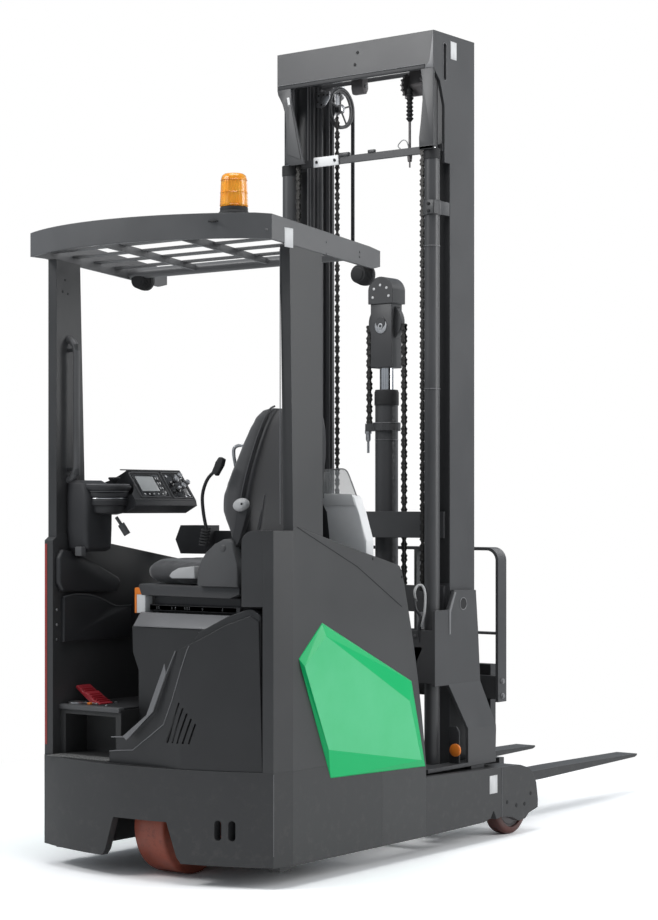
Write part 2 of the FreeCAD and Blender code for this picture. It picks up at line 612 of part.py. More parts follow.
def seat():
    """Seat that faces the truck's left: pan, rails and bellows, a cushion and a backrest in a shell."""
    front_y = S.seat_rear_y + S.seat_width
    publish("seat_cushion", box((S.seat_front_x, S.seat_back_x - 5), (S.seat_rear_y, front_y),
                                (S.pan_top + S.soft_gap, S.cushion_top)))
    back = [(240, 1095), (255, 1250), (290, 1420), (325, 1560), (325, S.back_top)]
    profile = plate("XZ", [
        (184, 1095), (190, 1162), (127, 1240), (127, 1295), (141, 1337), (178, 1420), (205, 1500),
        (230, 1560), (262, 1600), (300, S.back_top),
    ] + back[::-1], S.seat_rear_y, S.seat_width)
    publish("seat_backrest", common(profile, back_outline(S.seat_rear_y, front_y)))
    pan = box((S.seat_front_x + 20, S.seat_back_x + 60), (S.seat_rear_y, front_y), (S.pan_low, S.pan_top))
    inner = [(x + S.soft_gap, z) for x, z in back[:-1]]
    shell = common(plate("XZ", [
        (S.seat_back_x + 10, S.pan_top - 5), (S.seat_back_x + 60, S.pan_top - 5), (280, 1230), (316, 1400),
        (350, 1560), (345, 1600), (325 + S.soft_gap, 1600),
    ] + inner[::-1] + [(S.seat_back_x + 10, 1088)], S.seat_rear_y + 30, S.seat_width - 60),
        back_outline(S.seat_rear_y + 30, front_y - 30))
    side_y = S.seat_rear_y - S.soft_gap
    cover = plate("XZ", [
        (78, S.pan_top - 5), (262, S.pan_top - 5), (248, 1100), (228, 1147), (190, 1147), (78, 1040),
    ], side_y - S.cover_plate, S.cover_plate, {4: 165})
    toe = box((90, 250), (side_y - S.cover_plate, S.seat_rear_y + 5), (S.pan_low + 15, S.pan_top - 5))
    arm = plate("XZ", [(222, 1120), (255, 1120), (298, 1245), (298, 1290), (250, 1290), (247, 1240)],
                side_y - 15, 15)
    knob = rod(S.knob_radius, S.cover_plate + 12, S.knob_x, side_y - 15 - S.cover_plate, S.knob_z, "Y")
    publish("seat_shell", fuse(pan, shell, cover, toe, arm, knob))
    rails = box((S.seat_front_x + 45, S.seat_back_x + 40), (S.seat_rear_y + 20, front_y - 20),
                (S.rail_low, S.rail_top))
    base = box((S.seat_front_x + 70, S.seat_back_x + 20), (S.seat_rear_y + 50, front_y - 50),
               (S.hood_top, S.rail_low))
    bellows = box((S.seat_front_x + 60, S.seat_back_x + 30), (S.seat_rear_y + 35, front_y - 35),
                  (S.rail_top, S.pan_low))
    publish("seat_suspension", fuse(rails, base, bellows))


def console():
    column = box((-wall_inner_x, column_front_x), (S.column_rear_y, S.column_rear_y + S.column_length),
                 (S.column_low, S.column_top))
    hub_low = S.wheel_z - S.hub_drop
    head = prism(35, hub_low - S.slew_gap - S.column_top + 30, wheel_x, S.wheel_y, S.column_top - 30)
    publish("steering_console", fuse(column, head))
    nose_x = S.panel_reach - wall_inner_x
    shell = plate("XZ", [
        (-wall_inner_x, S.panel_low), (nose_x - 55, S.panel_low), (nose_x, S.panel_low + 27),
        (nose_x - 5, S.panel_low + 47), (nose_x - 85, S.panel_top), (nose_x - 100, S.panel_top),
        (-wall_inner_x, S.panel_top - 62),
    ], S.column_rear_y + S.column_length, S.panel_length)
    scoop = rod(S.wheel_radius + 8, 200, wheel_x, S.wheel_y, hub_low - 3)
    publish("control_panel", cut(shell, scoop))
    rim = cut(prism(S.wheel_radius, S.wheel_rim * 2, wheel_x, S.wheel_y, S.wheel_z - S.wheel_rim, sides=30),
              prism(S.wheel_radius - 2 * S.wheel_rim, S.wheel_rim * 4, wheel_x, S.wheel_y,
                    S.wheel_z - 2 * S.wheel_rim, sides=30))
    reach = S.wheel_radius - S.wheel_rim
    spoke = box((wheel_x - reach, wheel_x + reach), (S.wheel_y - 14, S.wheel_y + 14),
                (S.wheel_z - 8, S.wheel_z + 4))
    hub = rod(28, S.hub_drop + 8, wheel_x, S.wheel_y, hub_low)
    grip = prism(S.wheel_rim * 1.6, S.grip_height, wheel_x, S.wheel_y - reach, S.wheel_z, sides=12)
    publish("steering_wheel", fuse(rim, spoke, hub, grip))


def armrest(bulkhead):
    """Lever box in front of the operator's right hand, on a rail that stands on the bulkhead."""
    head_x = S.arm_left_x + 145
    block = plate("XZ", [
        (S.arm_left_x, (S.arm_low + S.arm_top) / 2), (S.arm_left_x + 25, S.arm_low), (head_x, S.arm_low),
        (head_x, S.arm_top), (S.arm_left_x + 25, S.arm_top),
    ], S.arm_rear_y, S.arm_front_y - S.arm_rear_y)
    rail_y = S.arm_front_y - S.arm_rail
    rail = box((head_x, S.arm_right_x), (rail_y, S.arm_front_y), (S.arm_low + 25, S.arm_top - 20))
    leg = box((S.arm_right_x - 100, S.arm_right_x - 40), (rail_y, S.arm_front_y),
              (S.bulkhead_top - 20, S.arm_low + 25))
    publish("armrest", fuse(block, rail, cut(leg, unmoved(bulkhead))))


# ---------------------------------------------------------------- overhead guard

def roof_low(y):
    """Height of the guard's lower edge at y; the roof falls towards the mast."""
    fall = (S.roof_rear_low - S.roof_front_low) / (S.roof_front_y - S.roof_nose)
    return S.roof_rear_low - fall * y


def guard(left_wall):
    """Overhead guard: a curved band with slats, two long bars and a round front tube, on two posts."""
    radius = S.roof_arc_radius
    left_y = arc_y(-half_width, S.roof_arc_x, S.roof_arc_y, radius)
    right_y = arc_y(half_width, S.roof_arc_x, S.roof_arc_y, radius)
    outer = plate("XY", [(-half_width, S.roof_front_y), (-half_width, left_y), (half_width, right_y),
                         (half_width, S.roof_front_y)],
                  S.roof_front_low - 50, S.roof_rear_top - S.roof_front_low + 100, {1: radius})
    inner_x = half_width - S.roof_plate
    inner_radius = radius - S.roof_plate
    hole = plate("XY", [(-inner_x, S.roof_front_y + 5),
                        (-inner_x, arc_y(-inner_x, S.roof_arc_x, S.roof_arc_y, inner_radius)),
                        (inner_x, arc_y(inner_x, S.roof_arc_x, S.roof_arc_y, inner_radius)),
                        (inner_x, S.roof_front_y + 5)],
                 S.roof_front_low - 60, S.roof_rear_top - S.roof_front_low + 120, {1: inner_radius})
    nose_y = S.roof_front_y - S.roof_nose
    slab = plate("YZ", [
        (rear_tip_y - 10, S.roof_rear_low), (0, S.roof_rear_low), (nose_y, S.roof_front_low),
        (S.roof_front_y, S.roof_front_low + 10), (S.roof_front_y, S.roof_front_top - 10),
        (nose_y - 20, S.roof_front_top), (0, S.roof_rear_top), (rear_tip_y - 10, S.roof_rear_top),
    ], -half_width - 10, S.chassis_width + 20)
    band = cut(common(outer, slab), hole)
    tube_z = roof_low(S.roof_tube_y) + S.roof_tube_radius
    tube = rod(S.roof_tube_radius, 2 * inner_x + 4, -inner_x - 2, S.roof_tube_y, tube_z, "X")
    bars = []
    for sign in (-1, 1):
        x = sign * S.roof_bar_x
        rear_y = arc_y(x, S.roof_arc_x, S.roof_arc_y, inner_radius + 4)
        bars.append(plate("YZ", [
            (rear_y, S.roof_rear_low + 20), (S.roof_tube_y, tube_z - 10), (S.roof_tube_y, tube_z + 10),
            (rear_y, S.roof_rear_low + 50),
        ], x - S.slat_plate, 2 * S.slat_plate))
    slats = []
    for step in range(4):
        y = S.roof_tube_y - S.slat_pitch * (step + 1) + 20
        z = roof_low(y) + 26
        slats.append(box((-inner_x - 2, inner_x + 2), (y, y + S.slat_width), (z, z + S.slat_plate)))
    publish("guard_roof", fuse(band, tube, *bars, *slats))
    publish("guard_post_right", plate("YZ", [
        (S.corner_side_y, S.wall_rear_top), (S.wall_crest_y, S.wall_crest),
        (S.post_low_front_y, S.wall_crest - 34), (S.post_top_front_y, roof_low(S.post_top_front_y)),
        (S.post_top_rear_y, roof_low(S.post_top_rear_y)),
    ], wall_inner_x, S.post_plate))
    left_post = plate("YZ", [
        (S.left_post_rear_y, S.left_wall_top - 30), (S.left_post_front_y + 30, S.left_wall_top - 30),
        (S.left_post_front_y, roof_low(S.left_post_front_y)),
        (S.left_post_rear_y, roof_low(S.left_post_rear_y)),
    ], -half_width, S.post_plate)
    grab_x = S.post_plate - half_width + S.grab_gap
    grab_y = (S.left_post_rear_y + S.left_post_front_y) / 2
    grab = rod(S.grab_radius, S.grab_high - S.grab_low, grab_x, grab_y, S.grab_low)
    stands = [box((grab_x - S.grab_gap - 4, grab_x), (grab_y - 8, grab_y + 8), (z - 6, z + 6))
              for z in (S.grab_low + 20, S.grab_high - 20)]
    publish("guard_post_left", fuse(cut(left_post, unmoved(left_wall)), grab, *stands))
    return band


def work_lamps():
    """Round work lights under the guard's front corners, each on a bracket."""
    roof = unmoved(NODES["guard_roof"])
    lamps = []
    for x, y in ((S.lamp_x, S.roof_front_y - S.lamp_front), (-S.lamp_x, S.roof_tube_y + S.lamp_radius / 2)):
        z = roof_low(y) - S.lamp_drop
        lamps.append(prism(S.lamp_radius, S.lamp_length, x, y - S.lamp_length / 2, z, "Y", 16))
        lamps.append(prism(S.lamp_radius - 12, 12, x, y - S.lamp_length / 2 - 12, z, "Y", 12))
        side_x = half_width - S.roof_plate
        low_x, high_x = (x, side_x + 3) if x.value > 0 else (-side_x - 3, x)
        lamps.append(box((low_x, high_x), (y - 8, y + 8), (z + S.lamp_radius - 6, z + S.lamp_radius + 8)))
    publish("work_lamps", cut(fuse(*lamps), roof))


def beacon(band):
    low = S.roof_rear_top - 24
    base = prism(S.beacon_radius + 4, S.beacon_base, S.beacon_x, S.beacon_y, S.roof_rear_top)
    stand = prism(18, S.roof_rear_top - low + 3, S.beacon_x, S.beacon_y, low - 3, sides=12)
    arm = box((S.beacon_x - 20, S.beacon_x + 20), (S.beacon_y - 120, S.beacon_y + 60), (low - 6, low))
    publish("beacon_base", fuse(cut(arm, band), base, stand))
    foot = S.roof_rear_top + S.beacon_base
    lens = prism(S.beacon_radius, S.beacon_height - S.beacon_cap, S.beacon_x, S.beacon_y, foot)
    crest = prism(S.beacon_radius - S.beacon_cap, S.beacon_height, S.beacon_x, S.beacon_y, foot)
    publish("beacon_lens", fuse(lens, crest))


# ---------------------------------------------------------------- reach carriage and mast

def channel(outer_x, rear_y, depth, flange, low, high):
    """Right hand rail of one mast stage: a channel that opens towards the middle."""
    web_x = outer_x - S.channel_web
    web = box((web_x, outer_x), (rear_y, rear_y + depth), (low, high))
    rear = box((outer_x - flange, outer_x), (rear_y, rear_y + S.channel_flange), (low, high))
    front = box((outer_x - flange, outer_x), (rear_y + depth - S.channel_flange, rear_y + depth), (low, high))
    return fuse(web, rear, front)


def stage_sizes(number):
    """Outer X, rear Y and depth of the mast stage with this number, counted from the outside."""
    step_x = S.channel_web + S.stage_gap_x
    step_y = S.channel_flange + S.stage_gap_y
    depth = S.mast_depth - 2 * number * step_y
    return mast_half_width - number * step_x, S.mast_rear_y + number * step_y, depth


def slide_pad(number):
    """Pad at a stage's foot that runs on the web of the stage outside it."""
    outer_x, rear_y, depth = stage_sizes(number)
    return box((outer_x, outer_x + S.stage_gap_x - S.slew_gap), (rear_y + 20, rear_y + depth - 20),
               (S.mast_low + 20, S.mast_low + 140))


def reach_carriage():
    """Welded carriage: two bent cheeks that carry the mast, a wing plate, decks on the legs, and a beam
    with rollers that run in the legs' channels."""
    deck_low = S.leg_top + S.carriage_gap
    deck_high = deck_low + S.carriage_plate
    outer_x = cheek_x + S.cheek_plate
    foot_outer_x = cheek_foot_x + S.cheek_plate
    section = plate("XZ", [
        (cheek_x, S.cheek_top), (cheek_x, S.cheek_bend_top), (cheek_foot_x, S.cheek_bend_low),
        (cheek_foot_x, deck_low), (foot_outer_x, deck_low), (foot_outer_x, S.cheek_bend_low + 3),
        (outer_x, S.cheek_bend_top + 3), (outer_x, S.cheek_top),
    ], S.mast_rear_y - 51, S.mast_depth + 92)
    outline = plate("YZ", [
        (1273, deck_low), (1462, deck_low), (1467, 411), (1452, 584), (1437, 786), (1421, 941), (1274, 945),
        (1234, 872), (1234, S.cheek_bend_top), (1273, S.cheek_bend_low),
    ], cheek_x - 5, 100)
    cheek = common(section, outline)
    pads = [box((mast_half_width, cheek_x), (1290, 1400), span) for span in ((620, 700), (840, 930))]
    wing_front = S.lift_y - S.lift_radius - S.wing_gap
    wing_rear = wing_front - S.cheek_plate
    flange = box((cheek_x, outer_x), (wing_rear, 1240), (S.cheek_bend_top, 872))
    wing = box((0, outer_x), (wing_rear, wing_front), (S.wing_low, S.wing_high))
    notch = plate("XZ", [(215, 730), (262, 730), (262, 718), (225, 652), (215, 652)], wing_front - 30, 60)
    deck = box((leg_inner_x, foot_outer_x), (S.carriage_rear_y, S.carriage_front_y), (deck_low, deck_high))
    pad = box((leg_inner_x + 12, foot_outer_x - 4), (1300, 1390), (S.leg_top + S.slew_gap, deck_low))
    hanger_x = leg_inner_x - 8 - S.hanger_plate
    hanger = box((hanger_x, hanger_x + S.hanger_plate),
                 (S.carriage_rear_y + 10, S.carriage_rear_y + 10 + S.hanger_length),
                 (S.carriage_low, deck_high))
    bracket = box((hanger_x, leg_inner_x + 5), (S.carriage_rear_y, S.carriage_rear_y + 130),
                  (deck_low, deck_high))
    roller_y = S.carriage_rear_y + 62
    roller_z = (S.leg_channel_low + S.leg_channel_high) / 2
    roller_radius = (S.leg_channel_high - S.leg_channel_low) / 2 - S.roller_gap
    roller = prism(roller_radius, 38, leg_inner_x + 4, roller_y, roller_z, "X", 16)
    stub = prism(16, 40, hanger_x + 10, roller_y, roller_z, "X", 12)
    beam = box((0, hanger_x + 5), (S.carriage_rear_y + 10, S.carriage_rear_y + 40),
               (S.carriage_low, deck_low))
    right = fuse(cheek, flange, cut(wing, notch), deck, pad, hanger, bracket, roller, stub, beam, *pads)
    publish("reach_carriage_frame", fuse(right, mirror_copy(right)))
    rod_front = S.carriage_rear_y + 10
    rod_rear = S.ram_rear_y + 30 + S.reach_stroke
    publish("reach_rod", rod(S.ram_rod_radius, rod_front - rod_rear, S.ram_x, rod_rear, S.ram_z, "Y"))


def mirror_copy(piece):
    """The left hand of a piece that isn't a sub-part by itself."""
    twin = doc.addObject("Part::Mirroring", "LeftHalf")
    twin.Source = piece
    twin.Normal = Vector(1, 0, 0)
    return twin


def outer_mast():
    outer_x, rear_y, depth = stage_sizes(0)
    rail = channel(outer_x, rear_y, depth, S.outer_flange, S.mast_low, S.mast_top)
    barrel_front_y = S.lift_y + S.lift_radius + S.stage_gap_y
    cheek = plate("YZ", [
        (rear_y, crown_cheek_low), (rear_y, S.mast_top), (S.crown_rear_y, S.mast_top),
        (S.crown_rear_y, crown_low), (S.crown_rear_y + 44, crown_low - 45),
        (barrel_front_y, crown_low - 130), (barrel_front_y, crown_cheek_low),
    ], outer_x - S.crown_plate, S.crown_plate)
    slot_high = S.mast_top - S.crown_height / 3
    slot_low = slot_high - S.crown_slot_length
    slot = [box((outer_x - 20, outer_x + 5), (S.crown_slot_y - S.crown_slot_radius,
                                              S.crown_slot_y + S.crown_slot_radius), (slot_low, slot_high))]
    for z in (slot_low, slot_high):
        slot.append(rod(S.crown_slot_radius, 25, outer_x - 20, S.crown_slot_y, z, "X"))
    crown = box((0, outer_x), (S.crown_rear_y, S.crown_rear_y + S.crown_plate), (crown_low, S.mast_top))
    stay_y = S.lift_y + S.lift_radius + S.soft_gap
    stay = box((0, outer_x - S.crown_plate / 2), (stay_y, stay_y + 12), (stay_low, stay_low + S.stay_height))
    tie_rear_y = rear_y - S.crown_plate
    ties = [box((0, outer_x - 20), (tie_rear_y, rear_y), (low, low + S.tie_height))
            for low in (S.tie_low, S.tie_high, S.mast_low)]
    chain_y = S.lift_y - S.chain_thick / 2
    anchor_low = S.tie_low + S.tie_height / 2
    anchor = box((S.chain_x - 4, S.chain_x + S.chain_thick + 4), (chain_y - 4, tie_rear_y + 2),
                 (anchor_low, anchor_low + S.anchor_height))
    seat = box((lift_x - 32, outer_x), (S.lift_y - 32, rear_y), (S.lift_low - 14, S.lift_low))
    right = fuse(rail, cut(cheek, *slot), crown, stay, seat, anchor, *ties)
    publish("outer_mast_frame", fuse(right, mirror_copy(right)))
    chain_top = lift_top + S.yoke_gap - S.soft_gap
    strands = [box((low_x, low_x + S.chain_thick), (chain_y, chain_y + S.chain_thick),
                   (anchor_low + S.anchor_height, chain_top))
               for low_x in (S.chain_x, -S.chain_x - S.chain_thick)]
    publish("main_lift_chains", fuse(*strands))
    barrels = []
    for sign in (1, -1):
        barrels.append(cut(rod(S.lift_radius, lift_top - S.lift_low, sign * lift_x, S.lift_y, S.lift_low),
                           rod(S.lift_rod_radius + S.rod_gap, lift_top - S.lift_low, sign * lift_x,
                               S.lift_y, S.lift_low + 30)))
    publish("lift_barrels", fuse(*barrels))


def middle_mast():
    outer_x, rear_y, depth = stage_sizes(1)
    rail = channel(outer_x, rear_y, depth, S.middle_flange, S.mast_low, middle_top)
    yoke_low = lift_top + S.yoke_gap
    yoke_top = yoke_low + S.yoke_height
    reach = outer_x - S.middle_flange
    front_y = S.mast_rear_y - 6
    yoke = box((0, lift_x + 12), (S.lift_y - 20, front_y), (yoke_low, yoke_top))
    link = box((reach - 30, reach - 2), (front_y - 2, rear_y + 10), (yoke_low, yoke_top))
    strap = box((reach - 30, reach + 8), (rear_y, rear_y + 10), (yoke_low, yoke_top))
    foot = box((0, reach + 8), (rear_y, rear_y + 10), (S.mast_low, S.mast_low + 80))
    right = fuse(rail, yoke, link, strap, foot, slide_pad(1))
    publish("middle_mast_frame", fuse(right, mirror_copy(right)))
    rods = [rod(S.lift_rod_radius, yoke_low - S.lift_low - 60, sign * lift_x, S.lift_y, S.lift_low + 60)
            for sign in (1, -1)]
    publish("lift_rods", fuse(*rods))


def inner_mast():
    outer_x, rear_y, depth = stage_sizes(2)
    rail = channel(outer_x, rear_y, depth, S.inner_flange, S.mast_low, inner_top)
    inner_x = outer_x - S.inner_flange
    crosses = [box((0, inner_x + 5), (rear_y, rear_y + S.channel_flange), (low, low + S.tie_height + rise))
               for low, rise in ((S.mast_low, 22), (S.tie_high, 0), (inner_top - 150, 20))]
    seat = box((0, 70), (rear_y, S.free_y + 50), (S.free_low - 30, S.free_low))
    right = fuse(rail, seat, slide_pad(2), *crosses)
    publish("inner_mast_frame", fuse(right, mirror_copy(right)))
    anchor_top = free_top - S.anchor_drop
    collar = prism(S.free_radius + 10, S.anchor_height, 0, S.free_y, anchor_top - S.anchor_height)
    strand_x = S.head_wheel_radius + S.soft_gap
    lug = box((-strand_x - S.chain_thick - 4, -S.free_radius + 5),
              (S.free_y - S.chain_width / 2 - 4, S.free_y + S.chain_width / 2 + 4),
              (anchor_top - S.anchor_height, anchor_top))
    barrel = rod(S.free_radius, free_top - S.free_low, 0, S.free_y, S.free_low)
    bore = rod(S.free_rod_radius + S.rod_gap, free_top, 0, S.free_y, S.free_low + 40)
    publish("free_lift_barrel", cut(fuse(barrel, collar, lug), bore))
    wheel_z = head_low + S.head_height - S.cap_height - S.head_wheel_radius
    publish("free_lift_chain_rising", box(
        (-strand_x - S.chain_thick, -strand_x),
        (S.free_y - S.chain_width / 2, S.free_y + S.chain_width / 2), (anchor_top, wheel_z)))


def hose_pulley():
    """Spoked pulley for the hoses, on a bracket at the front of the left inner rail."""
    outer_x, rear_y, depth = stage_sizes(2)
    inner_x = outer_x - S.inner_flange
    x = S.pulley_gap + S.pulley_width - inner_x
    z = inner_top - S.pulley_drop + S.pulley_radius + S.pulley_rim
    start = x - S.pulley_width
    hub_radius = S.pulley_rim + 4
    rim = cut(prism(S.pulley_radius, S.pulley_width, start, S.pulley_y, z, "X", 30),
              prism(S.pulley_radius - S.pulley_rim, S.pulley_width, start, S.pulley_y, z, "X", 30))
    boss = prism(hub_radius, S.pulley_width + S.pulley_gap, start - S.pulley_gap, S.pulley_y, z, "X", 16)
    spokes = []
    for turn in range(5):
        spoke = doc.addObject("Part::Box", "Spoke")
        bind(spoke, Length=S.pulley_width / 2, Width=S.pulley_rim / 2,
             Height=S.pulley_radius - S.pulley_rim / 2)
        spokes.append(place(spoke, start + S.pulley_width / 4, S.pulley_y, z,
                            Rotation(Vector(1, 0, 0), 72 * turn)))
    front_y = rear_y + depth
    bracket = box((-inner_x - S.crown_plate, -inner_x), (front_y, S.pulley_y + hub_radius),
                  (z - hub_radius, z + 2 * hub_radius))
    publish("hose_pulley", fuse(rim, boss, bracket, *spokes))


def crosshead():
    """Ram head: a block on the rod that carries a chain wheel across the truck and a round-topped cap."""
    low = S.free_low + 120
    shaft = rod(S.free_rod_radius, head_low + 10 - low, 0, S.free_y, low)
    cap_low = head_top - S.cap_height
    wheel_z = cap_low - S.head_wheel_radius
    rear_y = S.free_y - S.head_depth / 2
    head = box((-S.head_width / 2, S.head_width / 2), (rear_y, S.free_y + S.head_depth / 2),
               (head_low, cap_low))
    wheel = rod(S.head_wheel_radius, S.chain_width, 0, S.free_y - S.chain_width / 2, wheel_z, "Y")
    pin = prism(S.free_rod_radius - 5, S.head_depth + 8, 0, rear_y - 8, wheel_z, "Y", 16)
    half_cap = S.cap_width / 2
    cap = plate("XZ", [
        (-half_cap, cap_low - 5), (half_cap, cap_low - 5), (half_cap, head_top - half_cap),
        (-half_cap, head_top - half_cap),
    ], rear_y - 8, S.head_depth + 16, {2: half_cap + 1})
    publish("crosshead", fuse(shaft, head, wheel, pin, cap))


def fork_carriage():
    """Roller carriage in the inner rails, and the fork frame hinged to its front."""
    bar_front = S.fork_face_y - S.fork_thick
    bar_rear = bar_front - S.bar_depth
    high_top = S.high_bar_z + S.bar_height
    outer_x, rear_y, depth = stage_sizes(2)
    roller_y = rear_y + depth / 2
    roller_radius = depth / 2 - S.channel_flange - S.roller_gap
    plate_end = truck_plate_x + S.truck_plate
    side = plate("YZ", [
        (roller_y - 20, S.low_bar_z), (S.truck_front_y - 30, S.low_bar_z),
        (S.truck_front_y, S.low_bar_z + 40),
        (S.truck_front_y, high_top), (roller_y - 20, high_top),
    ], truck_plate_x, S.truck_plate)
    roller_reach = outer_x - S.channel_web - 8 - plate_end
    rollers = [prism(roller_radius, roller_reach, plate_end, roller_y, z, "X", 16)
               for z in (S.low_bar_z + 60, S.low_bar_z + 340)]
    strand_x = S.head_wheel_radius + S.soft_gap
    lug = box((strand_x - 4, strand_x + S.chain_thick + 4),
              (S.free_y - S.chain_width / 2 - 4, S.truck_front_y - 25),
              (high_top - S.anchor_height, high_top))
    beams = [box((0, truck_plate_x + 4), (S.truck_front_y - 30, S.truck_front_y), span)
             for span in ((S.low_bar_z + 10, S.low_bar_z + 80), (high_top - 70, high_top))]
    boss = prism(S.tilt_boss_radius, S.truck_plate, truck_plate_x, S.tilt_y, S.tilt_z, "X", 16)
    web = box((truck_plate_x, plate_end), (S.truck_front_y - 5, S.tilt_y),
              (S.tilt_z - S.tilt_boss_radius, S.tilt_z + S.tilt_boss_radius))
    eye = rod(S.tilt_pin_radius + S.tilt_gap, S.truck_plate, truck_plate_x, S.tilt_y, S.tilt_z, "X")
    barrel_rear = S.truck_front_y - 90
    barrel = prism(S.tilt_ram_radius, 100, S.tilt_ram_x, barrel_rear, S.tilt_ram_z, "Y", 16)
    bore = prism(S.tilt_rod_radius + S.rod_gap, 100, S.tilt_ram_x, barrel_rear + 12, S.tilt_ram_z, "Y", 16)
    right = cut(fuse(side, boss, web, barrel, *beams), fuse(bore, eye))
    publish("fork_carriage_frame", fuse(right, mirror_copy(right), lug))
    wheels = fuse(*rollers)
    publish("carriage_rollers", fuse(wheels, mirror_copy(wheels)))
    wheel_z = head_top - S.cap_height - S.head_wheel_radius
    publish("free_lift_chain_falling", box(
        (strand_x, strand_x + S.chain_thick),
        (S.free_y - S.chain_width / 2, S.free_y + S.chain_width / 2), (high_top, wheel_z)))
    rods = []
    for sign in (1, -1):
        rods.append(prism(S.tilt_rod_radius, bar_rear - S.tilt_stop_gap - barrel_rear - 30,
                          sign * S.tilt_ram_x, barrel_rear + 30, S.tilt_ram_z, "Y", 16))
    publish("tilt_rods", fuse(*rods))

    high_half = rack_x - S.rack_bar / 2
    low_bar = box((0, low_bar_half_width), (bar_rear, bar_front), (S.low_bar_z, S.low_bar_z + S.bar_height))
    high_bar = box((0, high_half), (bar_rear, bar_front), (S.high_bar_z, high_top))
    lug_x = plate_end + 1
    upright = box((lug_x, lug_x + S.tilt_lug), (bar_rear, bar_front), (S.low_bar_z, high_top))
    ear = plate("YZ", [
        (bar_rear + 5, S.tilt_z - 60), (bar_rear + 5, S.tilt_z + 30),
        (S.tilt_y, S.tilt_z + S.tilt_boss_radius), (S.tilt_y - 18, S.tilt_z + 18),
        (S.tilt_y - S.tilt_boss_radius, S.tilt_z), (S.tilt_y - 18, S.tilt_z - 18),
        (S.tilt_y, S.tilt_z - S.tilt_boss_radius),
    ], lug_x, S.tilt_lug)
    pin = rod(S.tilt_pin_radius, S.truck_plate + S.tilt_lug + 5, truck_plate_x - 4, S.tilt_y, S.tilt_z, "X")
    frame = fuse(low_bar, high_bar, upright, ear, pin)
    publish("fork_frame", fuse(frame, mirror_copy(frame)))
    for name, sign in (("right", 1), ("left", -1)):
        x = sign * S.fork_x - S.fork_width / 2
        top = S.fork_low + S.fork_thick
        publish("fork_" + name, plate("YZ", [
            (bar_front, S.fork_low), (S.fork_face_y + 350, S.fork_low), (fork_tip_y - 20, S.fork_low + 15),
            (fork_tip_y, S.fork_low + 21), (fork_tip_y, S.fork_low + 28), (S.fork_face_y + 500, top),
            (S.fork_face_y, top), (S.fork_face_y, S.shank_top), (bar_front, S.shank_top),
        ], x, S.fork_width))
    rack_front = S.rack_rear_y + S.rack_depth
    top_bar = box((-rack_x - S.rack_bar / 2, rack_x + S.rack_bar / 2), (S.rack_rear_y, rack_front),
                  (S.rack_top - S.rack_bar, S.rack_top))
    middle_bar = box((-rack_x, rack_x), (S.rack_rear_y + 20, rack_front - 10),
                     (S.rack_middle - 5, S.rack_middle + 5))
    posts = [box((x - S.rack_bar / 2, x + S.rack_bar / 2), (S.rack_rear_y, rack_front), (low, S.rack_top))
             for x, low in ((-rack_x, S.rack_low), (as_size(0), high_top), (rack_x, S.rack_low))]
    publish("load_backrest", fuse(top_bar, middle_bar, *posts))


base = base_frame()
left_wall = side_walls()
side_pods()
straddle_leg()
load_wheels()
drive_unit()
hood()
rear_door()
battery()
footwell()
seat()
console()
armrest(base)
band = guard(left_wall)
beacon(band)
work_lamps()
reach_carriage()
outer_mast()
middle_mast()
inner_mast()
hose_pulley()
crosshead()
fork_carriage()

# ---------------------------------------------------------------- recompute, check and write

doc.recompute()
for piece in doc.Objects:
    if "Invalid" in piece.State or "Error" in piece.State:
        raise RuntimeError("%s (%s) failed to compute" % (piece.Label, piece.Name))
for node, piece in NODES.items():
    if piece.Shape.isNull() or not piece.Shape.isValid() or not piece.Shape.Solids:
        raise RuntimeError("%s has no valid shape" % node)

os.makedirs("parts", exist_ok=True)
for node, piece in NODES.items():
    piece.Shape.exportStep("parts/%s.step" % node)
print("%d sub-parts written" % len(NODES))
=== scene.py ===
import json
import math

import bmesh
import bpy
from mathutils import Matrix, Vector


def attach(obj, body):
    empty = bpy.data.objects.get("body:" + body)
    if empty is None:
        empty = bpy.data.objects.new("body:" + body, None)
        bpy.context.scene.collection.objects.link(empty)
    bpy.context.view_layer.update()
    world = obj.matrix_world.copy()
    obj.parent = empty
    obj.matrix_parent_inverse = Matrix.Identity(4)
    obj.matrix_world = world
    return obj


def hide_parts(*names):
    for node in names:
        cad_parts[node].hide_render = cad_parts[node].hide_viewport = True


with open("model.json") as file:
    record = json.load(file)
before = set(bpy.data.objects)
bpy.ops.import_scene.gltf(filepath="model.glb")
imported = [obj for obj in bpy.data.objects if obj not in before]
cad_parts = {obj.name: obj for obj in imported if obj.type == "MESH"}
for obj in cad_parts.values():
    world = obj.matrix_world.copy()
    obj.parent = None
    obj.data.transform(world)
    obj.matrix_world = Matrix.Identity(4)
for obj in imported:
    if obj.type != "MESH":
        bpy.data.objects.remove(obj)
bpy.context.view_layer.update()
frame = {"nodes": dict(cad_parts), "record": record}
NODES = frame["nodes"]

# Distances are in metres. Places are given with X from the truck's middle, Z from the floor, and Y from
# the rear edge of the left wall, which stands DATUM_Y behind the frame's origin.
DATUM_Y = 1.332


def at(x, y, z):
    """A place given from the datum, in the frame's axes."""
    return Vector((x, y - DATUM_Y, z))


UP, FORWARD, REARWARD, RIGHTWARD, LEFTWARD = (0, 0, 1), (0, 1, 0), (0, -1, 0), (1, 0, 0), (-1, 0, 0)
LOAD_WHEEL_X, LOAD_WHEEL_Y, LOAD_WHEEL_R = 0.4345, 1.562, 0.115
RAM_X, RAM_Y = 0.338, 1.2  # axes of the two lift rams
HEAD_Y = 1.382  # axis of the free-lift ram


# ---------------------------------------------------------------- camera, room and light

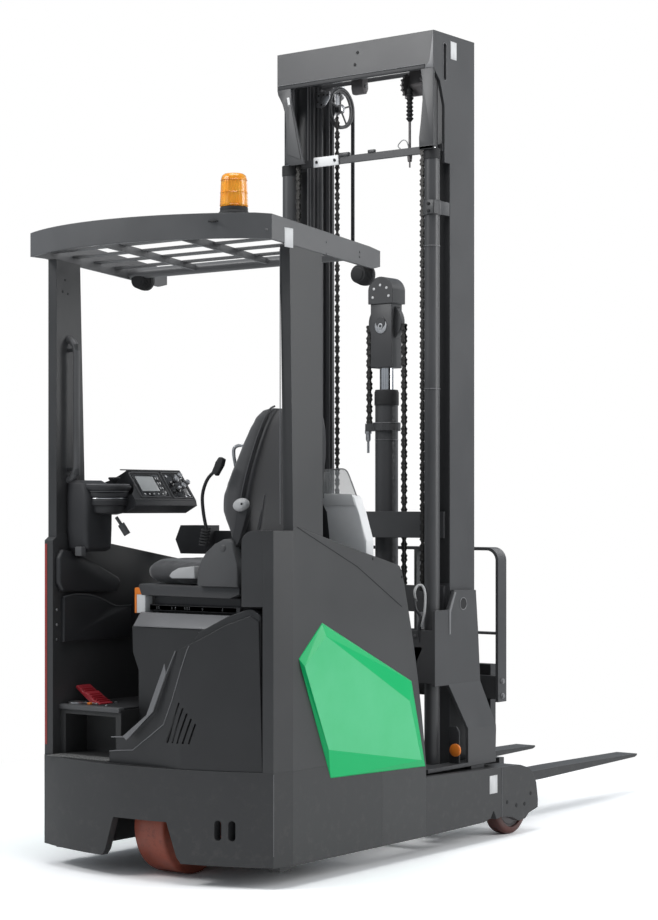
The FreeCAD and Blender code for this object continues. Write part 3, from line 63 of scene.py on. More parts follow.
def make_camera():
    """Long lens at eye height, behind the truck and to its right."""
    data = bpy.data.cameras.new("camera")
    data.sensor_width = 36.0
    data.lens = 82.09
    data.shift_y = 0.0506
    data.clip_end = 60.0
    camera = bpy.data.objects.new("camera", data)
    camera.location = (4.76, -6.644, 1.259)
    camera.rotation_euler = (math.radians(90), 0.0, math.radians(36.99))
    bpy.context.collection.objects.link(camera)
    bpy.context.scene.camera = camera


def seen_ray(nodes, links):
    """1 for rays from the camera, and for what glass lets through."""
    path = nodes.new("ShaderNodeLightPath")
    either = nodes.new("ShaderNodeMath")
    either.operation = "MAXIMUM"
    links.new(path.outputs["Is Camera Ray"], either.inputs[0])
    links.new(path.outputs["Is Transmission Ray"], either.inputs[1])
    return either.outputs[0]


FLOOR_RADIUS = 14.0
FLOOR_COLOUR = (0.88, 0.88, 0.88, 1)
FLOOR_SEEN_COLOUR = (1.32, 1.32, 1.32, 1)
FADE_FROM, FADE_TO = 1.2, 2.8  # distances from the origin between which the floor turns pure white


def make_room():
    """Even pale surroundings, and a floor that takes shadows near the truck and is white beyond it."""
    scene = bpy.context.scene
    scene.view_settings.view_transform = "Standard"
    world = bpy.data.worlds.new("studio")
    scene.world = world
    world.use_nodes = True
    nodes, links = world.node_tree.nodes, world.node_tree.links
    nodes.clear()
    soft = nodes.new("ShaderNodeBackground")
    soft.inputs["Color"].default_value = (0.86, 0.93, 1.0, 1)
    soft.inputs["Strength"].default_value = 0.42
    white = nodes.new("ShaderNodeBackground")
    white.inputs["Color"].default_value = (1, 1, 1, 1)
    white.inputs["Strength"].default_value = 1.0
    mix = nodes.new("ShaderNodeMixShader")
    direct = seen_ray(nodes, links)
    links.new(direct, mix.inputs["Fac"])
    links.new(soft.outputs[0], mix.inputs[1])
    links.new(white.outputs[0], mix.inputs[2])
    out = nodes.new("ShaderNodeOutputWorld")
    links.new(mix.outputs[0], out.inputs["Surface"])
    bm = bmesh.new()
    bmesh.ops.create_circle(bm, cap_ends=True, radius=FLOOR_RADIUS, segments=96)
    mesh = bpy.data.meshes.new("floor")
    bm.to_mesh(mesh)
    bm.free()
    floor = bpy.data.objects.new("floor", mesh)
    bpy.context.collection.objects.link(floor)
    material = bpy.data.materials.new("floor")
    material.use_nodes = True
    nodes, links = material.node_tree.nodes, material.node_tree.links
    bsdf = nodes["Principled BSDF"]
    bsdf.inputs["Base Color"].default_value = FLOOR_COLOUR
    bsdf.inputs["Roughness"].default_value = 0.8
    glow = nodes.new("ShaderNodeEmission")
    glow.inputs["Color"].default_value = (1, 1, 1, 1)
    glow.inputs["Strength"].default_value = 1.0
    place = nodes.new("ShaderNodeTexCoord")
    reach = nodes.new("ShaderNodeVectorMath")
    reach.operation = "LENGTH"
    links.new(place.outputs["Object"], reach.inputs[0])
    fade = nodes.new("ShaderNodeMapRange")
    fade.interpolation_type = "SMOOTHSTEP"
    fade.inputs["From Min"].default_value, fade.inputs["From Max"].default_value = FADE_FROM, FADE_TO
    links.new(reach.outputs["Value"], fade.inputs["Value"])
    direct = seen_ray(nodes, links)
    pale = nodes.new("ShaderNodeMix")
    pale.data_type = "RGBA"
    pale.inputs[6].default_value = FLOOR_COLOUR
    pale.inputs[7].default_value = FLOOR_SEEN_COLOUR
    links.new(direct, pale.inputs[0])
    links.new(pale.outputs[2], bsdf.inputs["Base Color"])
    both = nodes.new("ShaderNodeMath")
    both.operation = "MULTIPLY"
    links.new(direct, both.inputs[0])
    links.new(fade.outputs[0], both.inputs[1])
    mix = nodes.new("ShaderNodeMixShader")
    links.new(both.outputs[0], mix.inputs["Fac"])
    links.new(bsdf.outputs[0], mix.inputs[1])
    links.new(glow.outputs[0], mix.inputs[2])
    links.new(mix.outputs[0], nodes["Material Output"].inputs["Surface"])
    mesh.materials.append(material)


def make_lamp(name, place, target, size, power):
    """A rectangular lamp at a place, turned to its target."""
    data = bpy.data.lights.new(name, "AREA")
    data.shape = "RECTANGLE"
    data.size, data.size_y = size
    data.energy = power
    lamp = bpy.data.objects.new(name, data)
    lamp.location = place
    lamp.rotation_euler = (Vector(target) - Vector(place)).to_track_quat("-Z", "Y").to_euler()
    bpy.context.collection.objects.link(lamp)


make_camera()
make_room()
make_lamp("top_box", (0.6, -1.4, 5.4), (0, -0.2, 0.6), (2.6, 2.6), 120)
make_lamp("left_box", (-2.4, -4.4, 4.6), (0.1, -0.1, 2.3), (1.8, 1.4), 120)
make_lamp("right_box", (5.0, 1.7, 2.7), (0.3, -0.1, 1.2), (2.0, 3.2), 150)
make_lamp("back_box", (0.4, 5.2, 3.4), (0, 0.4, 1.2), (3.6, 2.6), 60)


# ---------------------------------------------------------------- materials

MADE = {}


class Look:
    """Builds one procedural material; every method adds nodes to it and returns an output socket."""

    def __init__(self, name, colour, rough, metallic=0.0, **sockets):
        self.material = bpy.data.materials.new(name)
        self.material.use_nodes = True
        self.nodes = self.material.node_tree.nodes
        self.links = self.material.node_tree.links
        self.bsdf = self.nodes["Principled BSDF"]
        self.bsdf.inputs["Base Color"].default_value = (*colour, 1)
        self.bsdf.inputs["Roughness"].default_value = rough
        self.bsdf.inputs["Metallic"].default_value = metallic
        for key, number in sockets.items():
            self.bsdf.inputs[key.replace("_", " ")].default_value = number
        self.place = self.nodes.new("ShaderNodeTexCoord").outputs["Object"]
        MADE[name] = self.material

    def add(self, kind, **values):
        """A new node; lower-case keys are its settings, the others its sockets."""
        node = self.nodes.new("ShaderNode" + kind)
        for key, number in values.items():
            if key.islower():
                setattr(node, key, number)
            else:
                node.inputs[key.replace("_", " ")].default_value = number
        return node

    def noise(self, scale, detail=4.0, rough=0.55, source=None):
        node = self.add("TexNoise", Scale=scale, Detail=detail, Roughness=rough)
        self.links.new(source or self.place, node.inputs["Vector"])
        return node.outputs["Fac"]

    def ramp(self, source, low, high, at_low=0.0, at_high=1.0):
        node = self.add("MapRange", From_Min=low, From_Max=high, To_Min=at_low, To_Max=at_high)
        self.links.new(source, node.inputs["Value"])
        return node.outputs[0]

    def blend(self, fac, first, second, kind="MIX"):
        node = self.nodes.new("ShaderNodeMix")
        node.data_type = "RGBA"
        node.blend_type = kind
        for value, socket in ((fac, node.inputs[0]), (first, node.inputs[6]), (second, node.inputs[7])):
            if isinstance(value, bpy.types.NodeSocket):
                self.links.new(value, socket)
            elif isinstance(value, tuple):
                socket.default_value = (*value, 1)
            else:
                socket.default_value = value
        return node.outputs[2]

    def colour(self, source):
        self.links.new(source, self.bsdf.inputs["Base Color"])

    def roughness(self, source, low, high):
        self.links.new(self.ramp(source, 0.3, 0.7, low, high), self.bsdf.inputs["Roughness"])

    def bump(self, height, strength, depth, edge=0.0):
        node = self.add("Bump", Strength=strength, Distance=depth)
        self.links.new(height, node.inputs["Height"])
        if edge:
            bevel = self.nodes.new("ShaderNodeBevel")
            bevel.samples = 4
            bevel.inputs["Radius"].default_value = edge
            self.links.new(bevel.outputs[0], node.inputs["Normal"])
        self.links.new(node.outputs[0], self.bsdf.inputs["Normal"])


def shade(colour, factor):
    return tuple((min(1.0, part * factor) for part in colour))


def paint(name, colour, rough=0.42, grain=900.0, depth=0.0004, edge=0.003, dust=0.1, coat=0.0):
    """Powder coat: fine orange peel, faint cloudy tone, dust that settles low and duller worn patches."""
    look = Look(name, colour, rough, Coat_Weight=coat)
    cloud = look.noise(3.0, 5.0)
    fine = look.noise(grain, 2.0)
    tone = look.blend(look.ramp(cloud, 0.3, 0.7), shade(colour, 0.88), shade(colour, 1.12))
    split = look.nodes.new("ShaderNodeSeparateXYZ")
    look.links.new(look.place, split.inputs[0])
    low = look.ramp(split.outputs["Z"], 0.0, 0.5, 1.0, 0.0)
    speck = look.ramp(look.noise(26.0, 8.0, 0.7), 0.52, 0.72)
    gather = look.add("Math", operation="MULTIPLY")
    look.links.new(low, gather.inputs[0])
    look.links.new(speck, gather.inputs[1])
    amount = look.add("Math", operation="MULTIPLY")
    look.links.new(gather.outputs[0], amount.inputs[0])
    amount.inputs[1].default_value = dust
    look.colour(look.blend(amount.outputs[0], tone, (0.3, 0.28, 0.25)))
    look.roughness(cloud, rough * 0.88, rough * 1.14)
    look.bump(fine, 0.25, depth, edge)
    return look.material


def plastic(name, colour, rough=0.5, grain=520.0, strength=0.35, edge=0.004, coat=0.0):
    """Moulded plastic with a leathered grain."""
    look = Look(name, colour, rough, Coat_Weight=coat)
    cell = look.add("TexVoronoi", Scale=grain)
    look.links.new(look.place, cell.inputs["Vector"])
    cloud = look.noise(5.0, 4.0)
    look.colour(look.blend(look.ramp(cloud, 0.3, 0.7), shade(colour, 0.9), shade(colour, 1.1)))
    look.roughness(cloud, rough * 0.9, rough * 1.12)
    look.bump(cell.outputs["Distance"], strength, 0.0005, edge)
    return look.material


def metal(name, colour, rough=0.3, streak=(4.0, 4.0, 220.0), edge=0.0, metallic=1.0, depth=0.0002):
    """Turned or rolled metal with fine streaks along one axis."""
    look = Look(name, colour, rough, metallic)
    stretch = look.add("Mapping")
    stretch.inputs["Scale"].default_value = streak
    look.links.new(look.place, stretch.inputs["Vector"])
    lines = look.noise(6.0, 6.0, 0.6, stretch.outputs[0])
    cloud = look.noise(7.0, 5.0)
    look.colour(look.blend(look.ramp(cloud, 0.3, 0.7), shade(colour, 0.85), shade(colour, 1.08)))
    look.roughness(lines, rough * 0.75, rough * 1.3)
    look.bump(lines, 0.2, depth, edge)
    return look.material


def urethane(name, colour):
    """Cast polyurethane tread: satin, with tyre scuffs and dust."""
    look = Look(name, colour, 0.42, Coat_Weight=0.15)
    cloud = look.noise(9.0, 6.0, 0.65)
    scuff = look.ramp(look.noise(60.0, 8.0, 0.75), 0.5, 0.75)
    base = look.blend(look.ramp(cloud, 0.3, 0.7), shade(colour, 0.75), shade(colour, 1.25))
    look.colour(look.blend(scuff, base, shade(colour, 0.5)))
    look.roughness(cloud, 0.34, 0.58)
    look.bump(look.noise(160.0, 6.0), 0.3, 0.0006, 0.003)
    return look.material


def cloth(name, colour, weave=900.0):
    """Woven seat cover: crossed bands with a soft sheen."""
    look = Look(name, colour, 0.85, Sheen_Weight=0.35, Sheen_Roughness=0.5)
    bands = []
    for axis in ("X", "Z"):
        wave = look.add("TexWave", wave_type="BANDS", bands_direction=axis, Scale=weave / 6.0, Distortion=0.6)
        look.links.new(look.place, wave.inputs["Vector"])
        bands.append(wave.outputs["Fac"])
    cross = look.add("Math", operation="MULTIPLY")
    look.links.new(bands[0], cross.inputs[0])
    look.links.new(bands[1], cross.inputs[1])
    cloud = look.noise(8.0, 5.0)
    tone = look.blend(look.ramp(cloud, 0.3, 0.7), shade(colour, 0.8), shade(colour, 1.25))
    look.colour(look.blend(cross.outputs[0], tone, shade(colour, 1.8)))
    look.bump(cross.outputs[0], 0.5, 0.0008)
    return look.material


paint("chassis_paint", (0.033, 0.033, 0.034), 0.46)
paint("body_paint", (0.038, 0.038, 0.039), 0.42)
paint("mast_paint", (0.052, 0.052, 0.054), 0.40)
paint("guard_paint", (0.036, 0.036, 0.037), 0.42)
# The overhead guard's roof gets a lighter copy of the guard's dark paint, which paints light on the roof.
paint("roof_paint_painted_light", (0.092, 0.092, 0.094), 0.40)
# The pod's colour is chosen by which way each face points: faces square to X take a paler green and the
# rounded bevels a darker green, so the pod's light and shade are painted into its colour.
pod = Look("pod_paint", (0.10, 0.55, 0.27), 0.32, Specular_IOR_Level=0.25)
facing = pod.nodes.new("ShaderNodeSeparateXYZ")
pod.links.new(pod.nodes.new("ShaderNodeTexCoord").outputs["Normal"], facing.inputs[0])
flat = pod.add("Math", operation="ABSOLUTE")
pod.links.new(facing.outputs["X"], flat.inputs[0])
haze = pod.ramp(pod.noise(5.0, 4.0), 0.3, 0.7)
lit_face_green = pod.blend(haze, (0.080, 0.53, 0.22), (0.105, 0.57, 0.26))
# Faces square to X take the paler green and the rest take the darker green (0.002, 0.46, 0.14): painted light
# on the faces and painted shade on the bevels.
pod.colour(pod.blend(pod.ramp(flat.outputs[0], 0.9970, 0.9995), (0.002, 0.46, 0.14), lit_face_green))
pod.roughness(haze, 0.30, 0.38)
pod.bump(pod.noise(300.0, 2.0), 0.15, 0.0001, 0.003)
plastic("cover_plastic", (0.022, 0.022, 0.023), 0.40)
plastic("trim_plastic", (0.022, 0.022, 0.024), 0.5)
plastic("pedal_red", (0.33, 0.015, 0.025), 0.45)
paint("battery_case", (0.12, 0.12, 0.12), 0.5)
paint("step_steel", (0.03, 0.03, 0.03), 0.6, grain=260.0, depth=0.0012)
paint("seat_steel", (0.028, 0.028, 0.03), 0.5)
paint("fork_steel", (0.029, 0.029, 0.030), 0.40)
metal("cast_iron", (0.16, 0.15, 0.15), 0.5, (40.0, 40.0, 40.0), 0.002, 0.6, 0.0008)
metal("rod_chrome", (0.72, 0.72, 0.74), 0.14)
urethane("tyre_urethane", (0.24, 0.050, 0.026))
cloth("seat_foam", (0.020, 0.020, 0.022))
beacon = Look("beacon_amber", (1.0, 0.38, 0.01), 0.22, Transmission_Weight=0.35, Coat_Weight=0.4)
beacon.colour(beacon.blend(beacon.ramp(beacon.noise(30.0), 0.3, 0.7), (1.0, 0.34, 0.0), (1.0, 0.48, 0.03)))
beacon.bump(beacon.noise(220.0), 0.1, 0.0005)
paint("light_cover", (0.74, 0.74, 0.74), 0.45, grain=500.0)
urethane("tyre_dark", (0.085, 0.022, 0.016))
# bevel_grey is a light grey for hubs, ties and bolts, and for the thin lines and strips that paint highlights
# along edges, folds and rims.
paint("bevel_grey", (0.17, 0.17, 0.175), 0.35)
paint("plate_white", (0.62, 0.62, 0.62), 0.4)
paint("marker_orange", (0.75, 0.20, 0.02), 0.35)
paint("edge_red", (0.30, 0.035, 0.03), 0.4)
plastic("knob_grey", (0.42, 0.42, 0.42), 0.45)
plastic("side_cover_grey", (0.075, 0.075, 0.077), 0.5)
plastic("pan_grey", (0.050, 0.050, 0.052), 0.40)
plastic("black_rubber", (0.012, 0.012, 0.013), 0.7, grain=300.0)
plastic("gloss_black", (0.012, 0.012, 0.013), 0.18, grain=900.0, strength=0.05, coat=0.6)
plastic("screen_grey", (0.40, 0.41, 0.41), 0.25, grain=900.0, strength=0.02, coat=0.5)
plastic("key_white", (0.60, 0.60, 0.60), 0.4)
plastic("hose_rubber", (0.022, 0.022, 0.024), 0.42, grain=700.0, strength=0.2)
metal("zinc", (0.55, 0.55, 0.56), 0.32, (30.0, 30.0, 30.0), 0.001)
metal("chain_steel", (0.060, 0.058, 0.056), 0.42, (60.0, 60.0, 30.0), 0.001)
cloth("seat_knit", (0.040, 0.040, 0.042), 620.0)
plastic("piping", (0.055, 0.055, 0.058), 0.6)
clear = Look("clear_sheet", (0.55, 0.56, 0.56), 0.08, Alpha=0.35)
clear.roughness(clear.noise(14.0), 0.05, 0.22)
mat = Look("floor_mat", (0.16, 0.16, 0.16), 0.8)
flecks = mat.ramp(mat.noise(420.0, 3.0), 0.5, 0.62)
mat.colour(mat.blend(flecks, (0.05, 0.05, 0.05), (0.36, 0.36, 0.35)))
mat.bump(mat.noise(420.0, 3.0), 0.6, 0.0012)
SLOT_OF = {part["node"]: part["material_slot"] for part in frame["record"]["subparts"]}
for name, node in NODES.items():
    node.data.materials.clear()
    # guard_roof takes the lighter copy of the guard's paint, which paints light on the roof.
    node.data.materials.append(MADE["roof_paint_painted_light" if name == "guard_roof" else SLOT_OF[name]])


# ---------------------------------------------------------------- building pieces

def circle(count):
    """Cosine and sine of each step round a full turn."""
    angles = [2 * math.pi * step / count for step in range(count)]
    return [(math.cos(angle), math.sin(angle)) for angle in angles]


def bulge(value, power):
    """A sine or cosine pushed out towards the corners of its square."""
    return math.copysign(abs(value) ** power, value)


def head(radius, height, flat, top):
    """Profile of a screw's head: its sides, then a slope up to a flat top."""
    return [(0, radius), (height, radius), (top, flat), (top, 0)]


def disc(radius, height, top):
    """Profile of a short round disc with a slightly raised middle."""
    return [(0, radius), (height, radius), (top, 0)]


class Form:
    """One piece's mesh, put together from blocks, plates, turned shapes, rings and tubes."""

    def __init__(self):
        self.bm = bmesh.new()

    def ease(self, verts, size):
        if size:
            edges = {edge for vert in verts for edge in vert.link_edges}
            bmesh.ops.bevel(self.bm, geom=list(edges), offset=size, segments=2, profile=0.6,
                            affect="EDGES", clamp_overlap=True)
        return self

    def block(self, low, high, bevel=0.0):
        low, high = at(*low), at(*high)
        verts = bmesh.ops.create_cube(self.bm, size=1.0)["verts"]
        for vert in verts:
            for axis in range(3):
                vert.co[axis] = low[axis] + (vert.co[axis] + 0.5) * (high[axis] - low[axis])
        return self.ease(verts, bevel)

    def slab(self, outlines, bevel=0.0):
        """Two outlines in the frame's axes, each closed by a face and joined by a wall."""
        first, last = [[self.bm.verts.new(spot) for spot in outline] for outline in outlines]
        self.bm.faces.new(first)
        self.bm.faces.new(last[::-1])
        for index in range(len(first)):
            after = (index + 1) % len(first)
            self.bm.faces.new((first[after], first[index], last[index], last[after]))
        return self.ease(first + last, bevel)

    def plate(self, axis, points, start, end, bevel=0.0):
        """A flat outline across one axis, drawn out from start to end along it."""
        place = {"X": lambda level, a, b: at(level, a, b), "Y": lambda level, a, b: at(a, level, b),
                 "Z": lambda level, a, b: at(a, b, level)}[axis]
        return self.slab([[place(level, a, b) for a, b in points] for level in (start, end)], bevel)

    def turned(self, centre, axis, profile, sides=32):
        """A profile of (distance along, radius) turned round an axis; an end of radius 0 closes it."""
        middle = at(*centre)
        turn = Vector(axis).normalized().to_track_quat("Z", "Y")
        rows = []
        for along, radius in profile:
            spots = [(radius * a, radius * b, along) for a, b in circle(sides if radius > 0 else 1)]
            rows.append([self.bm.verts.new(middle + turn @ Vector(spot)) for spot in spots])
        for low, high in zip(rows, rows[1:]):
            for step in range(sides):
                after = (step + 1) % sides
                corners = [low[step % len(low)], low[after % len(low)], high[after % len(high)],
                           high[step % len(high)]]
                self.bm.faces.new(list(dict.fromkeys(corners)))
        for row in (rows[0][::-1], rows[-1]):
            if len(row) > 1:
                self.bm.faces.new(row)
        return self

    def studs(self, places, axis, profile, sides=12):
        """The same turned shape at several places."""
        for place in places:
            self.turned(place, axis, profile, sides)
        return self

    def ring(self, centre, axis, radius, thick, sides=40, around=10):
        """A round hoop of round section."""
        middle = at(*centre)
        turn = Vector(axis).normalized().to_track_quat("Z", "Y")
        rows = []
        for a, b in circle(sides):
            section = [(radius + thick * out, thick * up) for out, up in circle(around)]
            rows.append([middle + turn @ Vector((far * a, far * b, rise)) for far, rise in section])
        return self.loft(rows, closed=True)

    def tube(self, spots, radius, sides=10):
        """A round bar along spots given from the datum."""
        return self.sweep([at(*spot) for spot in spots], radius, sides)

    def wire(self, spots, radius, sides=10):
        """A round bar that runs softly through spots given from the datum."""
        return self.sweep(smooth_line(spots), radius, sides)

    def sweep(self, line, radius, sides=10):
        """A round bar along spots in the frame's axes."""
        rows = []
        normal = None
        for index, spot in enumerate(line):
            ahead = line[min(index + 1, len(line) - 1)] - line[max(index - 1, 0)]
            ahead.normalize()
            if normal is None:
                normal = ahead.orthogonal().normalized()
            normal = (normal - ahead * normal.dot(ahead)).normalized()
            other = ahead.cross(normal)
            rows.append([spot + radius * (normal * a + other * b) for a, b in circle(sides)])
        return self.loft(rows)

    def loft(self, rows, closed=False):
        """Rings of points in the frame's axes, joined one to the next, and last to first if closed."""
        made = [[self.bm.verts.new(spot) for spot in row] for row in rows]
        count = len(made[0])
        for low, high in zip(made, made[1:] + (made[:1] if closed else [])):
            for step in range(count):
                after = (step + 1) % count
                self.bm.faces.new((low[step], low[after], high[after], high[step]))
        if not closed:
            self.bm.faces.new(made[0][::-1])
            self.bm.faces.new(made[-1])
        return self

    def done(self, name, body, look, smooth=38.0, replaces=()):
        bmesh.ops.recalc_face_normals(self.bm, faces=self.bm.faces)
        mesh = bpy.data.meshes.new(name)
        self.bm.to_mesh(mesh)
        self.bm.free()
        for face in mesh.polygons:
            face.use_smooth = True
        mesh.set_sharp_from_angle(angle=math.radians(smooth))
        mesh.materials.append(MADE[look])
        piece = bpy.data.objects.new(name, mesh)
        bpy.context.collection.objects.link(piece)
        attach(piece, body)
        if replaces:
            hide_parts(*replaces)
        return piece


def smooth_line(spots, steps=6):
    """A line that runs softly through spots given from the datum."""
    line = [at(*spot) for spot in spots]
    out = []
    for index in range(len(line) - 1):
        before, start = line[max(index - 1, 0)], line[index]
        end, after = line[index + 1], line[min(index + 2, len(line) - 1)]
        for step in range(steps):
            t = step / steps
            square = (2 * before - 5 * start + 4 * end - after) * t * t
            cube = (3 * start - before - 3 * end + after) * t ** 3
            out.append(0.5 * (2 * start + (end - before) * t + (square + cube)))
    out.append(line[-1])
    return out


CLOTH_FRAMES = 20
CLOTH_PRESSURE = 4.0
VOXEL = 0.0065


def evaluated_mesh(piece):
    return bpy.data.meshes.new_from_object(piece.evaluated_get(bpy.context.evaluated_depsgraph_get()))


def stuff(piece, most):
    """Swell a closed form like foam under a cover, held to a few millimetres, and apply the result."""
    remesh = piece.modifiers.new("remesh", "REMESH")
    remesh.mode = "VOXEL"
    remesh.voxel_size = VOXEL
    remesh.use_smooth_shade = True
    bpy.context.view_layer.update()
    mesh = evaluated_mesh(piece)
    piece.modifiers.clear()
    piece.data = mesh
    start = [vert.co.copy() for vert in mesh.vertices]
    swell = piece.modifiers.new("cloth", "CLOTH")
    swell.settings.use_pressure = True
    swell.settings.uniform_pressure_force = CLOTH_PRESSURE
    swell.settings.quality = 5
    swell.settings.effector_weights.gravity = 0.0
    swell.point_cache.frame_start = 1
    swell.point_cache.frame_end = CLOTH_FRAMES
    for number in range(1, CLOTH_FRAMES + 1):
        bpy.context.scene.frame_set(number)
    mesh = evaluated_mesh(piece)
    piece.modifiers.clear()
    piece.data = mesh
    bpy.context.scene.frame_set(1)
    for vert, old in zip(mesh.vertices, start):
        move = vert.co - old
        if move.length > most:
            vert.co = old + move * (most / move.length)
    bm = bmesh.new()
    bm.from_mesh(piece.data)
    for _ in range(2):
        bmesh.ops.smooth_vert(bm, verts=bm.verts, factor=0.5, use_axis_x=True, use_axis_y=True,
                              use_axis_z=True)
    bm.to_mesh(piece.data)
    bm.free()
    for face in piece.data.polygons:
        face.use_smooth = True


# ---------------------------------------------------------------- seat

SEAT_MIDDLE = 0.4
KNOB_X, KNOB_Y, KNOB_Z = 0.273, 0.1368, 1.265
# Each row: x, low z, high z, half width.
CUSHION = ((-0.219, 1.020, 1.040, 0.150), (-0.212, 1.004, 1.058, 0.185), (-0.190, 0.998, 1.068, 0.200),
           (-0.120, 0.996, 1.072, 0.206), (0.000, 0.996, 1.066, 0.208), (0.120, 0.996, 1.064, 0.208),
           (0.172, 0.998, 1.066, 0.200))
# Each row: z, front x, rear x, half width.
BACK = ((1.105, 0.176, 0.232, 0.180), (1.125, 0.172, 0.236, 0.200), (1.165, 0.168, 0.242, 0.208),
        (1.205, 0.148, 0.246, 0.210), (1.240, 0.136, 0.248, 0.211), (1.295, 0.134, 0.256, 0.211),
        (1.337, 0.146, 0.266, 0.210), (1.380, 0.162, 0.276, 0.206), (1.430, 0.184, 0.288, 0.198),
        (1.480, 0.203, 0.298, 0.186), (1.530, 0.222, 0.308, 0.170), (1.570, 0.238, 0.314, 0.150),
        (1.593, 0.254, 0.313, 0.125), (1.602, 0.270, 0.306, 0.095))


def seat_cushion():
    """Crowned cushion with a shallow hollow, rounder at its front edge."""
    rows = []
    for x, low, high, half in CUSHION:
        middle, tall = (low + high) / 2, (high - low) / 2
        row = []
        for side, up in circle(44):
            hollow = 0.010 * (1 - (side * side)) if up > 0 and x > -0.15 else 0.0
            z = middle + tall * bulge(up, 0.6) - hollow
            row.append(at(x, SEAT_MIDDLE + half * bulge(side, 0.4), z))
        rows.append(row)
    piece = Form().loft(rows).done("seat_cushion_pad", "chassis", "seat_knit", replaces=("seat_cushion",))
    stuff(piece, 0.010)


def seat_back():
    """Backrest pad with its bolsters, and the piping down both sides."""
    rows = []
    for z, front, rear, half in BACK:
        middle, thick = (front + rear) / 2, (rear - front) / 2
        row = []
        for out, side in circle(48):
            dent = 0.014 * (1 - abs(side)) if out < 0 else 0.0
            row.append(at(middle + thick * bulge(out, 0.5) + dent, SEAT_MIDDLE + half * bulge(side, 0.5), z))
        rows.append(row)
    piece = Form().loft(rows).done("seat_back_pad", "chassis", "seat_knit", replaces=("seat_backrest",))
    stuff(piece, 0.008)
    for name, side in (("seat_piping_right", -1), ("seat_piping_left", 1)):
        spots = [(rear - 0.010, SEAT_MIDDLE + side * (half + 0.0005), z) for z, front, rear, half in BACK[2:]]
        Form().wire(spots, 0.0035, 8).done(name, "chassis", "piping")


